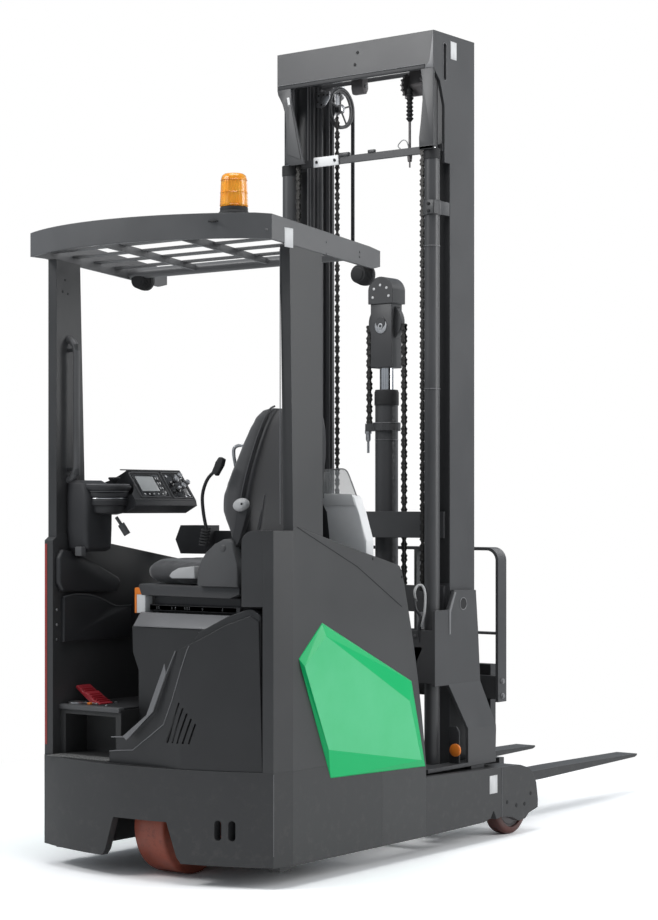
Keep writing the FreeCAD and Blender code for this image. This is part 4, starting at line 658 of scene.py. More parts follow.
def seat_shell():
    """Hard back of the seat behind the pad, its pan, side cover, wedge, reclining knob and buckle."""
    rows = []
    for z, front, rear, half in BACK[1:-1]:
        inner, outer = rear - 0.012, rear + 0.02 + 0.018 * max(0.0, (1.35 - z) / 0.25)
        middle, thick = (inner + outer) / 2, (outer - inner) / 2
        rows.append([at(middle + thick * bulge(out, 0.6), SEAT_MIDDLE + (half - 0.006) * bulge(side, 0.35), z)
                     for out, side in circle(40)])
    Form().loft(rows).done("seat_back_shell", "chassis", "trim_plastic", replaces=("seat_shell",))
    pan = Form().plate("Y", [(-0.211, 0.982), (-0.196, 0.948), (0.205, 0.945), (0.25, 0.96), (0.25, 0.986),
        (-0.205, 0.988)], 0.172, 0.612, 0.006)
    pan.done("seat_pan", "chassis", "pan_grey")
    cover = Form().plate("Y", [(0.078, 0.985), (0.262, 0.985), (0.256, 1.06), (0.24, 1.138), (0.226, 1.15),
        (0.195, 1.149), (0.155, 1.132), (0.117, 1.103), (0.092, 1.068), (0.079, 1.03)], 0.15, 0.182, 0.009)
    cover.turned((0.196, 0.151, 1.118), REARWARD, head(0.011, 0.003, 0.009, 0.004), 20)
    cover.done("seat_side_cover", "chassis", "side_cover_grey", 50)
    Form().plate("Y", [(-0.055, 1.018), (-0.04, 1.034), (-0.012, 1.047), (0.062, 1.055), (0.064, 1.012),
        (-0.04, 1.01)], 0.156, 0.186, 0.005).done("seat_wedge", "chassis", "knob_grey")
    arm = Form().plate("Y", [(0.222, 1.14), (0.24, 1.118), (0.258, 1.14), (0.292, 1.235), (0.296, 1.262),
        (0.252, 1.262), (0.246, 1.23)], 0.16, 0.184, 0.005)
    arm.done("recline_arm", "chassis", "trim_plastic")
    rows = []
    for depth, scale in ((0.0, 0.55), (0.004, 0.85), (0.012, 1.0), (0.02, 1.0), (0.027, 0.9)):
        rows.append([at(KNOB_X + 0.031 * scale * a, KNOB_Y + depth,
                        KNOB_Z + 0.022 * scale * b + 0.004 * a * scale) for a, b in circle(36)])
    Form().loft(rows).done("recline_knob", "chassis", "knob_grey", 60)
    Form().turned((0.288, 0.1372, 1.268), REARWARD, disc(0.0045, 0.0012, 0.0014), 14).done(
        "recline_knob_dot", "chassis", "gloss_black")
    # A moulded fin on the seat's shell, in a lighter grey that paints the highlight along it.
    Form().plate("Y", [(0.29, 1.115), (0.312, 1.19), (0.334, 1.3), (0.33, 1.3), (0.302, 1.19)], 0.205,
        0.213, 0.002).done("shell_rib_highlight", "chassis", "side_cover_grey")
    Form().block((0.274, 0.1975, 1.098), (0.298, 0.201, 1.166), 0.001).done(
        "seat_label", "chassis", "plate_white")
    stalk = Form()
    stalk.wire([(0.11, 0.166, 1.178), (0.1, 0.16, 1.24), (0.1, 0.156, 1.3), (0.122, 0.156, 1.352),
        (0.16, 0.158, 1.384)], 0.006, 8)
    stalk.plate("Y", [(0.146, 1.378), (0.164, 1.362), (0.19, 1.398), (0.196, 1.42), (0.178, 1.428),
        (0.164, 1.41)], 0.148, 0.168, 0.004)
    stalk.done("belt_stalk", "chassis", "black_rubber")
    coil = []
    for step in range(97):
        angle = 2 * math.pi * 6 * step / 96
        coil.append(at(0.106 + 0.017 * math.cos(angle) - 0.012 * step / 96, 0.168 + 0.012 * math.sin(angle),
            1.185 - 0.06 * step / 96))
    Form().sweep(coil, 0.0032, 7).done("belt_coil", "chassis", "black_rubber")
    Form().wire([(0.178, 0.24, 1.395), (0.172, 0.236, 1.44), (0.176, 0.238, 1.462), (0.196, 0.25, 1.468),
        (0.212, 0.262, 1.452)], 0.006, 8).done("belt_guide", "chassis", "zinc")
    rails = Form()
    rails.block((-0.186, 0.2, 0.895), (0.215, 0.212, 0.915), 0.002)
    rails.block((-0.186, 0.588, 0.895), (0.215, 0.6, 0.915), 0.002)
    rails.done("seat_rails", "chassis", "side_cover_grey")
    # Black marks in the rails paint the shade inside their holes.
    holes = Form()
    for x in (-0.15, -0.14, -0.08, -0.064, -0.02, -0.01, 0.0, 0.06, 0.15):
        holes.block((x, 0.1985, 0.9), (x + 0.006, 0.2005, 0.91), 0.0008)
    holes.done("seat_rail_hole_shade", "chassis", "gloss_black")


# ---------------------------------------------------------------- steering column and panel

# Each row: z, left x, right x, rear y, front y.
COLUMN = ((1.100, -0.448, -0.372, 0.085, 0.190), (1.112, -0.456, -0.356, 0.068, 0.200),
          (1.180, -0.458, -0.352, 0.060, 0.200), (1.300, -0.458, -0.350, 0.060, 0.200),
          (1.340, -0.458, -0.372, 0.066, 0.196), (1.352, -0.452, -0.392, 0.076, 0.186))
WHEEL_AT = (-0.36, 0.165)


def console():
    """Steering column, its small disc wheel with a knob, and the direction lever."""
    rows = []
    for z, left, right, rear, front in COLUMN:
        x, y, half_x, half_y = (left + right) / 2, (rear + front) / 2, (right - left) / 2, (front - rear) / 2
        rows.append([at(x + half_x * bulge(across, 2 / 7), y + half_y * bulge(along, 2 / 7), z)
                     for across, along in circle(44)])
    Form().loft(rows).done("column_cover", "chassis", "trim_plastic", 30, replaces=("steering_console",))
    Form().block((-0.4, 0.05, 1.085), (-0.368, 0.075, 1.118), 0.004).done(
        "column_latch", "chassis", "side_cover_grey")
    wheel = Form()
    wheel.turned((*WHEEL_AT, 1.325), UP, [(-0.014, 0.02), (-0.014, 0.078), (-0.008, 0.088),
        (0.0, 0.092), (0.006, 0.0915), (0.011, 0.086), (0.013, 0.074), (0.009, 0.068), (0.0105, 0.03),
        (0.012, 0.0)], 64)
    wheel.turned((-0.322, 0.17, 1.336), UP, [(-0.004, 0.008), (0.006, 0.008), (0.01, 0.011),
        (0.02, 0.021), (0.025, 0.022), (0.027, 0.018), (0.027, 0.0)], 32)
    wheel.done("hand_wheel_disc", "hand_wheel", "trim_plastic", 40, replaces=("steering_wheel",))
    # Light rings at the hand wheel's rims paint their highlights.
    ring = Form()
    ring.ring((*WHEEL_AT, 1.3365), UP, 0.0845, 0.0022, 64, 8)
    ring.ring((*WHEEL_AT, 1.312), UP, 0.0815, 0.0018, 64, 8)
    ring.done("hand_wheel_rim_highlights", "hand_wheel", "bevel_grey")
    Form().turned((*WHEEL_AT, 1.23), UP, [(0.0, 0.04), (0.006, 0.064), (0.014, 0.07),
        (0.03, 0.072), (0.034, 0.08), (0.05, 0.0825), (0.056, 0.078), (0.06, 0.078), (0.064, 0.084),
        (0.076, 0.084), (0.079, 0.08), (0.079, 0.0)], 64).done("column_neck", "chassis", "trim_plastic", 30)
    # A bright metal ring on the neck paints the highlight at its edge.
    Form().ring((*WHEEL_AT, 1.2875), UP, 0.079, 0.0022, 64, 8).done("neck_highlight_line", "chassis", "zinc")
    lever = Form()
    lever.tube([(-0.318, 0.175, 1.222), (-0.303, 0.19, 1.19)], 0.006, 10)
    lever.tube([(-0.306, 0.187, 1.197), (-0.29, 0.203, 1.16)], 0.0125, 14)
    lever.done("direction_lever", "chassis", "side_cover_grey", 60)


PANEL_TOP, PANEL_FOOT = Vector((-0.330, 0, 1.392)), Vector((-0.250, 0, 1.282))
PANEL_REAR, PANEL_FRONT = 0.200, 0.530
PANEL_SLOPE = (PANEL_FOOT - PANEL_TOP).normalized()
PANEL_OUT = Vector((-PANEL_SLOPE.z, 0, PANEL_SLOPE.x))


def on_panel(along, down, proud=0.0):
    """A place on the panel's sloping face: along it from its rear end, down it, and proud of it."""
    spot = PANEL_TOP.lerp(PANEL_FOOT, down) + PANEL_OUT * proud
    return Vector((spot.x, PANEL_REAR + (PANEL_FRONT - PANEL_REAR) * along, spot.z))


def panel_slab(form, along_low, along_high, down_low, down_high, start, end, bevel=0.001):
    """A thin slab on the sloping face, between two distances proud of it."""
    corners = ((along_low, down_low), (along_high, down_low), (along_high, down_high), (along_low, down_high))
    outlines = [[at(*on_panel(along, down, proud)) for along, down in corners] for proud in (start, end)]
    form.slab(outlines, bevel)


def panel():
    """Screen, keys and lever knobs on the sloping control panel."""
    frames = Form()
    for low, high, top, foot in ((0.12, 0.6, 0.1, 0.92), (0.64, 0.97, 0.08, 0.94)):
        rim = 0.012
        panel_slab(frames, low, high, top, top + 0.03, -0.001, 0.003)
        panel_slab(frames, low, high, foot - 0.03, foot, -0.001, 0.003)
        panel_slab(frames, low, low + rim, top, foot, -0.001, 0.003)
        panel_slab(frames, high - rim, high, top, foot, -0.001, 0.003)
    panel_slab(frames, 0.02, 0.985, 0.005, 0.035, -0.001, 0.002)
    panel_slab(frames, 0.02, 0.985, 0.965, 0.995, -0.001, 0.002)
    frames.done("panel_frames", "chassis", "side_cover_grey")
    screen = Form()
    panel_slab(screen, 0.19, 0.47, 0.24, 0.72, -0.001, 0.0035, 0.0008)
    screen.done("panel_screen", "chassis", "screen_grey")
    bezel = Form()
    panel_slab(bezel, 0.16, 0.575, 0.17, 0.88, -0.001, 0.0016, 0.0005)
    panel_slab(bezel, 0.66, 0.955, 0.14, 0.9, -0.001, 0.001, 0.0005)
    bezel.done("panel_bezel", "chassis", "gloss_black")
    keys = Form()
    for row in range(3):
        for column in range(2):
            panel_slab(keys, 0.5 + column * 0.035, 0.514 + column * 0.035, 0.27 + row * 0.16,
                0.33 + row * 0.16, 0.0005, 0.0035, 0.0008)
    for column in range(5):
        panel_slab(keys, 0.2 + column * 0.072, 0.218 + column * 0.072, 0.79, 0.83, 0.0005, 0.0035, 0.0008)
    keys.done("panel_keys", "chassis", "key_white")
    sticks, caps = Form(), Form()
    for along, down, size in ((0.74, 0.46, 1.0), (0.83, 0.33, 0.9), (0.8, 0.66, 0.95), (0.9, 0.55, 0.85),
        (0.71, 0.74, 0.6)):
        place = on_panel(along, down)
        sticks.turned(place, PANEL_OUT, [(0, 0.012 * size), (0.006, 0.012 * size), (0.01, 0.006 * size),
            (0.02, 0.005 * size)], 20)
        caps.turned(place + PANEL_OUT * 0.018, PANEL_OUT, [(0, 0.005 * size), (0.004, 0.011 * size),
            (0.013, 0.012 * size), (0.017, 0.009 * size), (0.018, 0)], 20)
    for along, down in ((0.87, 0.2), (0.93, 0.28), (0.92, 0.84), (0.86, 0.88), (0.7, 0.22)):
        place = on_panel(along, down)
        caps.turned(place, PANEL_OUT, head(0.005, 0.004, 0.003, 0.005), 14)
    sticks.done("panel_stick_collars", "chassis", "gloss_black")
    caps.done("panel_sticks", "chassis", "zinc")


# ---------------------------------------------------------------- chassis, walls and hood

TAIL_X, TAIL_Y, TAIL_RADIUS = -0.088, 1.135, 1.207


def tail_y(x, inset):
    """Where the tail's curved wall stands at x, set in from the skirt."""
    return TAIL_Y - math.sqrt((TAIL_RADIUS - inset) ** 2 - (x - TAIL_X) ** 2)


def tail_line(points, inset, steps=5):
    """A line laid on the tail's curved wall."""
    spots = []
    for (x0, z0), (x1, z1) in zip(points, points[1:]):
        for step in range(steps):
            t = step / steps
            x = x0 + (x1 - x0) * t
            spots.append(at(x, tail_y(x, inset), z0 + (z1 - z0) * t))
    x, z = points[-1]
    spots.append(at(x, tail_y(x, inset), z))
    return spots


def skin_line(points, names, proud=0.0006, step=0.008):
    """A line laid from behind on the rear of the named nodes."""
    spots = []
    for (x0, z0), (x1, z1) in zip(points, points[1:]):
        count = max(1, round(math.hypot(x1 - x0, z1 - z0) / step))
        for index in range(count + (points[-1] == (x1, z1))):
            x, z = x0 + (x1 - x0) * index / count, z0 + (z1 - z0) * index / count
            hits = [NODES[name].ray_cast(Vector((x, -3.0, z)), Vector(FORWARD)) for name in names]
            depths = [spot.y for hit, spot, _, _ in hits if hit]
            if depths:
                spots.append(Vector((x, min(depths) - proud, z)))
    return spots


def hood_trim():
    """Light lines and strips that paint highlights on the edges and folds of the rear door and the hood,
    black strips that paint the shade in the louvre gaps and the shadow gap, the seat switch and the mats.
    """
    # Light grey lines along the edges of the rear door and the hood paint the highlights those edges catch.
    lines = Form()
    lines.sweep(skin_line([(-0.149, 0.424), (-0.12, 0.428), (-0.042, 0.435), (0.096, 0.53), (0.134, 0.614),
        (0.166, 0.7), (0.194, 0.78), (0.216, 0.826), (0.25, 0.856), (0.327, 0.895), (0.39, 0.921),
        (0.41, 0.921), (0.424, 0.908)], ("rear_door", "seat_hood")), 0.0018, 6)
    lines.sweep(tail_line([(-0.116, 0.477), (-0.056, 0.481), (0.058, 0.572), (0.151, 0.778)],
        0.0045), 0.002, 6)
    lines.done("door_edge_highlight_lines", "chassis", "bevel_grey")
    # A light grey strip laid on the door paints a highlight stripe.
    outline = ((-0.06, 0.484), (0.04, 0.56), (0.112, 0.735), (0.118, 0.7), (0.066, 0.572), (-0.046, 0.47))
    Form().slab([[at(x, tail_y(x, inset), z) for x, z in outline] for inset in (0.0042, 0.001)]).done(
        "door_highlight_stripe", "chassis", "bevel_grey")
    # Black strips in the louvre slots paint the shade inside them.
    louvre_shade = Form()
    for step in range(5):
        low_x = 0.108 + step * 0.022
        high_x = low_x + 0.052 - step * 0.007
        high_z = 0.606 - step * 0.017
        louvre_shade.sweep(tail_line([(low_x + 0.0035, 0.474), (high_x + 0.0035, high_z - 0.004)], 0.012,
            3), 0.0034, 6)
    louvre_shade.done("door_louvre_gap_shade", "chassis", "black_rubber")
    gap = Form()
    gap.sweep(tail_line([(0.4335, 0.392), (0.4335, 0.6), (0.4335, 0.9)], 0.012, 4), 0.0025, 6)
    gap.sweep(tail_line([(-0.148, 0.3862), (0.15, 0.3862), (0.436, 0.3862)], 0.008, 5), 0.0022, 6)
    gap.done("door_shadow_gap", "chassis", "black_rubber")
    # Light grey strips on the hood's chamfer and along its front edge paint the highlights they catch.
    Form().plate("X", [(0.128, 0.8415), (0.128, 0.8445), (0.1655, 0.8895), (0.168, 0.8872)], -0.193,
        0.3, 0.0008).done("hood_chamfer", "chassis", "bevel_grey")
    Form().tube([(-0.186, 0.1265, 0.8425), (0.31, 0.1265, 0.8425)], 0.0016, 6).done(
        "hood_edge_highlight", "chassis", "bevel_grey")
    Form().block((-0.227, 0.175, 0.885), (-0.18, 0.215, 0.968), 0.004).done(
        "seat_switch_box", "chassis", "plate_white")
    lid = Form()
    lid.block((-0.229, 0.173, 0.95), (-0.178, 0.217, 0.974), 0.003)
    lid.block((-0.229, 0.1735, 0.885), (-0.219, 0.2165, 0.952), 0.002)
    lid.done("seat_switch_lid", "chassis", "marker_orange")
    Form().block((-0.458, -0.03, 0.3852), (-0.17, 0.03, 0.388), 0.001).done(
        "entry_mat", "chassis", "floor_mat")
    Form().block((-0.458, 0.03, 0.3852), (-0.15, 0.6, 0.388), 0.001).done(
        "footwell_mat", "chassis", "floor_mat")


def footwell():
    """Step, pedal and their fasteners."""
    Form().block((-0.4595, 0.03, 0.545), (-0.171, 0.06, 0.5635), 0.006).done(
        "step_rim", "chassis", "side_cover_grey")
    Form().block((-0.455, 0.062, 0.5555), (-0.175, 0.6, 0.562), 0.003).done(
        "step_mat", "chassis", "black_rubber")
    pedal = Form()
    pedal.plate("Y", [(-0.442, 0.617), (-0.434, 0.626), (-0.4, 0.6), (-0.392, 0.605), (-0.36, 0.578),
        (-0.322, 0.566), (-0.325, 0.557), (-0.366, 0.564)], 0.096, 0.164, 0.003)
    for step in range(9):
        t = 0.08 + step * 0.105
        x, z = -0.434 + 0.108 * t, 0.622 - 0.054 * t
        pedal.block((x - 0.002, 0.102, z - 0.006), (x + 0.002, 0.158, z + 0.003), 0.001)
    pedal.done("pedal_pad", "chassis", "pedal_red", replaces=("accelerator_pedal",))
    base = Form()
    base.block((-0.44, 0.09, 0.562), (-0.33, 0.17, 0.568), 0.002)
    base.tube([(-0.395, 0.13, 0.566), (-0.402, 0.13, 0.585), (-0.412, 0.13, 0.6)], 0.007, 10)
    base.turned((-0.42, 0.08, 0.562), UP, [(0, 0.03), (0.006, 0.03), (0.009, 0.024), (0.01, 0)], 28)
    base.done("pedal_base", "chassis", "zinc")
    Form().studs([(x, y, 0.5615) for x, y in ((-0.446, 0.074), (-0.446, 0.186), (-0.27, 0.074),
        (-0.33, 0.186))], UP, head(0.006, 0.004, 0.004, 0.005)).done("step_bolts", "chassis", "zinc")
    Form().block((-0.36, 0.07, 0.562), (-0.345, 0.082, 0.57), 0.002).done(
        "pedal_mark", "chassis", "marker_orange")


def side_walls():
    """Pad, pocket, screws and edges of the side walls."""
    Form().plate("X", [(0.012, 0.99), (0.012, 1.078), (0.03, 1.11), (0.08, 1.098), (0.2, 1.052),
        (0.316, 1.004), (0.33, 0.985), (0.31, 0.95), (0.03, 0.96)], -0.462, -0.436, 0.008).done(
        "knee_pad", "chassis", "trim_plastic", 60)
    Form().plate("X", [(0.04, 0.78), (0.041, 0.938), (0.06, 0.946), (0.15, 0.944), (0.23, 0.93),
        (0.29, 0.902), (0.34, 0.896), (0.39, 0.898), (0.39, 0.78)], -0.4615, -0.443, 0.004).done(
        "wall_pocket", "chassis", "trim_plastic", 60)
    Form().wire([(-0.443, 0.04, 0.94), (-0.443, 0.1, 0.948), (-0.443, 0.18, 0.942), (-0.443, 0.25, 0.922),
        (-0.443, 0.31, 0.899), (-0.443, 0.39, 0.898)], 0.0028, 8).done(
        "pocket_lip", "chassis", "side_cover_grey")
    Form().studs([(-0.4605, 0.022, z) for z in (0.895, 0.842, 0.79)], RIGHTWARD,
        head(0.005, 0.0018, 0.003, 0.003)).done("wall_screws", "chassis", "zinc")
    Form().block((-0.4985, 0.0005, 0.42), (-0.488, 0.0035, 1.128), 0.001).done(
        "left_wall_edge", "chassis", "edge_red")
    # A dark line along the right wall's crease paints the shade in it.
    Form().tube([(0.5004, 0.17, 1.19), (0.5004, 0.504, 1.053), (0.5004, 0.771, 0.905)], 0.0012, 6).done(
        "right_wall_crease_shade", "chassis", "black_rubber")
    # Black discs paint the shade inside the right wall's holes.
    Form().studs([(0.4996, y, z) for y, z in ((0.596, 1.078), (0.772, 1.01))], RIGHTWARD,
        disc(0.005, 0.0012, 0.0014), 14).done("right_wall_hole_shade", "chassis", "black_rubber")
    # Light lines down the wall's rounded rear corner and the tail's corner paint the highlights along them.
    corner = Form()
    corner.tube([(0.4915, 0.1405, 0.39), (0.4915, 0.1405, 1.165)], 0.0022, 6)
    x = 0.4785
    y = tail_y(x, 0.0) + 0.001
    corner.tube([(x, y, 0.11), (x, y, 0.38)], 0.0012, 6)
    corner.done("corner_highlight_line", "chassis", "bevel_grey")


def screen_cover():
    """Pale moulded cover with a clear sheet over it, between the seat and the mast."""
    Form().plate("Y", [(0.262, 1.07), (0.262, 1.285), (0.276, 1.302), (0.392, 1.3), (0.404, 1.29),
        (0.424, 1.235), (0.456, 1.14), (0.456, 1.07)], 0.618, 0.664, 0.006).done(
        "rear_screen_cover", "chassis", "light_cover")
    Form().plate("Y", [(0.268, 1.262), (0.272, 1.304), (0.394, 1.303), (0.408, 1.262)], 0.616,
        0.62, 0.001).done("screen_cover_lip", "chassis", "plate_white")
    # A black plate in the cover's recess paints the shade inside it.
    Form().plate("Y", [(0.264, 1.1), (0.264, 1.27), (0.284, 1.24), (0.3, 1.11)], 0.6155, 0.6185, 0.001).done(
        "screen_cover_recess_shade", "chassis", "black_rubber")
    Form().plate("Y", [(0.24, 1.29), (0.24, 1.388), (0.33, 1.392), (0.352, 1.384), (0.372, 1.345),
        (0.396, 1.29)], 0.646, 0.651, 0.001).done("rear_clear_sheet", "chassis", "clear_sheet")
    # A light line along the clear sheet's edge paints the glint the edge catches.
    Form().sweep(smooth_line([(0.24, 0.6455, 1.389), (0.3, 0.6455, 1.3915), (0.335, 0.6455, 1.392),
        (0.354, 0.6455, 1.381), (0.372, 0.6455, 1.345), (0.397, 0.6455, 1.29)], 4), 0.0022, 6).done(
        "clear_sheet_edge_glint", "chassis", "bevel_grey")


def chassis_bits():
    """Tow-hole shade, leg fasteners and blank plate, and the load wheels' hub faces: black cylinders behind
    the tow holes and black marks in the leg's bolt holes paint the shade in them, and a light line paints the
    highlight on the leg's seam.
    """
    # Black cylinders set behind the tow holes paint the shade seen through them.
    holes = Form()
    for x in (0.304, 0.35):
        holes.tube([(x, tail_y(x, 0.0) + 0.03, 0.172), (x, tail_y(x, 0.0) + 0.03, 0.208)], 0.01, 16)
    holes.done("tow_hole_shade", "chassis", "black_rubber")
    # Black marks paint the shade inside the leg's bolt holes.
    Form().studs([(0.4988, y, z) for y, z in ((1.536, 0.115), (1.595, 0.115), (1.47, 0.135), (1.64, 0.15))],
        RIGHTWARD, [(0, 0.0075), (0.002, 0.0075), (0.0024, 0.005), (0.001, 0)], 16).done(
        "leg_bolt_hole_shade", "chassis", "black_rubber")
    # A light line on the leg's seam paints the highlight along it.
    Form().tube([(0.5003, 1.432, 0.082), (0.5003, 1.432, 0.268)], 0.0012, 6).done(
        "leg_seam_highlight", "chassis", "bevel_grey")
    Form().block((0.4998, 1.346, 0.178), (0.5006, 1.4, 0.246), 0.0003).done(
        "leg_blank_plate", "chassis", "plate_white")
    for name, side in (("right", 1), ("left", -1)):
        hub = Form()
        for face in (1, -1):
            start = side * LOAD_WHEEL_X + face * 0.0222
            hub.turned((start, LOAD_WHEEL_Y, LOAD_WHEEL_R), (face, 0, 0), [
                (0.0, 0.08), (0.0012, 0.076), (0.0012, 0.05), (0.0035, 0.046), (0.0035, 0.03), (0.006, 0.028),
                (0.006, 0.0205), (0.0, 0.0205)], 40)
        hub.done("load_hub_faces_" + name, "load_wheel_" + name, "cast_iron")


def tyre_ring(name, body, node, x, width, radius, bore, y, look="tyre_urethane"):
    """A cast tread with rounded shoulders."""
    half = width / 2
    profile = [(-half, bore)]
    for inward, drop in ((0.0, 0.014), (0.002, 0.007), (0.006, 0.002), (0.012, 0.0)):
        profile.append((-half + inward, radius - drop))
    profile += [(-along, out) for along, out in reversed(profile)]
    rows = [[at(x + along, y + out * a, radius + out * b) for a, b in circle(96)] for along, out in profile]
    Form().loft(rows, closed=True).done(name, body, look, 50, replaces=(node,))


def wheels():
    """Treads of the drive wheel and the two load wheels."""
    tyre_ring("drive_tread", "drive_wheel", "drive_tyre", 0.0, 0.135, 0.1715, 0.12, 0.159)
    for side, x in (("right", LOAD_WHEEL_X), ("left", -LOAD_WHEEL_X)):
        tyre_ring("load_tread_" + side, "load_wheel_" + side, "load_tyre_" + side, x, 0.062,
                  LOAD_WHEEL_R, 0.088, LOAD_WHEEL_Y, "tyre_dark")


# ---------------------------------------------------------------- overhead guard

def guard_bits():
    """Grab handle, blank plate and fasteners of the overhead guard."""
    # Black discs paint the shade inside the left post's holes.
    Form().studs([(-0.4605, y, z) for y, z in ((0.052, 2.02), (0.078, 2.014), (0.064, 2.062))], RIGHTWARD,
        disc(0.005, 0.0012, 0.0014)).done("left_post_hole_shade", "chassis", "black_rubber")
    Form().wire([(-0.462, 0.08, 1.352), (-0.438, 0.08, 1.362), (-0.421, 0.08, 1.392), (-0.42, 0.08, 1.45),
        (-0.42, 0.08, 1.6), (-0.42, 0.08, 1.75), (-0.421, 0.08, 1.812), (-0.438, 0.08, 1.842),
        (-0.462, 0.08, 1.852)], 0.0128, 14).done("grab_handle", "chassis", "side_cover_grey")
    Form().block((0.4998, 0.1, 2.112), (0.5008, 0.146, 2.176), 0.0003).done(
        "roof_blank_plate", "chassis", "plate_white")
    Form().studs([(0.4996, y, z) for y, z in ((0.33, 2.15), (0.52, 2.118), (0.33, 2.11), (0.52, 2.135))],
        RIGHTWARD, head(0.004, 0.0014, 0.002, 0.002)).done("roof_screws", "chassis", "side_cover_grey")
    # A light line down the post's edge paints the highlight along it.
    Form().tube([(0.46, 0.128, 1.2), (0.46, 0.128, 1.7), (0.46, 0.1275, 2.11)], 0.0016, 6).done(
        "post_edge_highlight", "chassis", "bevel_grey")


# Each row: height over the dome's foot, radius, depth of the flutes.
DOME = ((0.0000, 0.0455, 0.0), (0.004, 0.0470, 0.0), (0.012, 0.0465, 0.0012), (0.040, 0.0452, 0.0012),
        (0.0780, 0.0435, 0.0012), (0.094, 0.0425, 0.0008), (0.103, 0.0395, 0.0), (0.109, 0.0320, 0.0),
        (0.1115, 0.0160, 0.0))


def beacon():
    """Fluted amber dome with its rings, on a rubber foot."""
    x, y, foot = 0.335, 0.04, 2.249
    rows = []
    for level, radius, wave in DOME:
        row = []
        for step, (a, b) in enumerate(circle(96)):
            out = radius - wave * (0.5 - 0.5 * math.cos(math.pi / 2 * step))
            row.append(at(x + out * a, y + out * b, foot + level))
        rows.append(row)
    Form().loft(rows).done("beacon_dome", "chassis", "beacon_amber", 40, replaces=("beacon_lens",))
    band = Form()
    for level in (0.004, 0.046, 0.088):
        band.ring((x, y, foot + level), UP, 0.046 - level * 0.035, 0.0016, 56, 6)
    band.done("beacon_rings", "chassis", "beacon_amber")
    base = Form()
    base.turned((x, y, 2.217), UP, [(0.0, 0.05), (0.006, 0.0515), (0.014, 0.05), (0.018, 0.0465),
        (0.028, 0.0465), (0.0318, 0.044), (0.0319, 0.0)], 48)
    base.block((0.315, -0.08, 2.1875), (0.355, 0.1, 2.193), 0.001)
    base.turned((x, y, 2.19), UP, disc(0.018, 0.028, 0.029), 20)
    base.done("beacon_foot", "chassis", "black_rubber", replaces=("beacon_base",))


def lamps():
    """Two finned work lamps under the guard's front corners."""
    form, lens = Form(), Form()
    for x, y, z in ((0.445, 0.615, 2.069), (-0.445, 0.459, 2.094)):
        front = y + 0.022
        form.turned((x, front, z), REARWARD, [(-0.0005, 0.03), (0.0, 0.037), (0.012, 0.038),
            (0.016, 0.034), (0.018, 0.034)], 40)
        for fin in range(6):
            depth = 0.018 + fin * 0.0065
            out = 0.0375 - fin * 0.0012
            form.turned((x, front, z), REARWARD, [(depth, 0.022), (depth + 0.0006, out),
                (depth + 0.003, out), (depth + 0.0036, 0.022)], 36)
        form.turned((x, front, z), REARWARD, [(0.0, 0.024), (0.056, 0.022), (0.058, 0.0)], 28)
        low, high = sorted((x - math.copysign(0.006, x), math.copysign(0.489, x)))
        form.block((low, y - 0.008, z + 0.03), (high, y + 0.008, z + 0.045), 0.002)
        lens.turned((x, y + 0.0215, z), FORWARD, [(0.0, 0.033), (0.002, 0.032), (0.0035, 0.02),
            (0.004, 0)], 32)
    form.done("lamp_bodies", "chassis", "black_rubber", replaces=("work_lamps",))
    lens.done("lamp_lenses", "chassis", "screen_grey")


# ---------------------------------------------------------------- mast

LINK_SHAPE = ((-0.62, 0.55), (-0.50, 1.0), (-0.30, 1.0), (0.0, 0.62), (0.30, 1.0), (0.50, 1.0), (0.62, 0.55))
LINK_THICK = 0.0022


def chain(name, body, x, y, low, high, pitch, plate, across, node=None):
    """Leaf chain: waisted link plates in two layers about pins, one pitch after the other."""
    form = Form()
    count = int((high - low) / pitch)
    step_z = (high - low) / count
    for index in range(count):
        middle = low + (index + 0.5) * step_z
        inset = 0.0 if index % 2 == 0 else 1.0
        half_across = across / 2 - 0.0022 * inset
        half_thick = plate / 2 - 0.0030 * inset
        shape = [(half_across * share, middle + along * step_z) for along, share in LINK_SHAPE]
        outline = [(x + a, z) for a, z in shape + [(-a, z) for a, z in reversed(shape)]]
        for sign in (1, -1):
            faces = sorted((sign * half_thick, sign * (half_thick - LINK_THICK)))
            form.plate("Y", outline, y + faces[0], y + faces[1])
        form.turned((x, y - plate / 2 - 0.0006, middle + step_z / 2), FORWARD,
                    [(0, across * 0.22), (plate + 0.0012, across * 0.22)], 8)
    form.done(name, body, "chain_steel", 30, replaces=(node,) if node else ())


def chains():
    """Mast chains: two behind the lift rams, two falls at the free-lift ram and one beside the rail."""
    for name, x, node in (("lift_chain_right", 0.295, "main_lift_chains"), ("lift_chain_left", -0.295, None)):
        chain(name, "reach_carriage", x, RAM_Y, 0.942, 2.658, 0.019, 0.012, 0.019, node)
    for way, body, x, low in (("rising", "inner_stage", -0.0833, 1.588),
                              ("falling", "fork_truck", 0.0833, 0.600)):
        chain("free_chain_" + way, body, x, HEAD_Y, low, 1.968, 0.0222, 0.020, 0.017,
              "free_lift_chain_" + way)
    chain("rail_chain", "inner_stage", -0.2115, 1.342, 0.62, 2.80, 0.020, 0.010, 0.018)


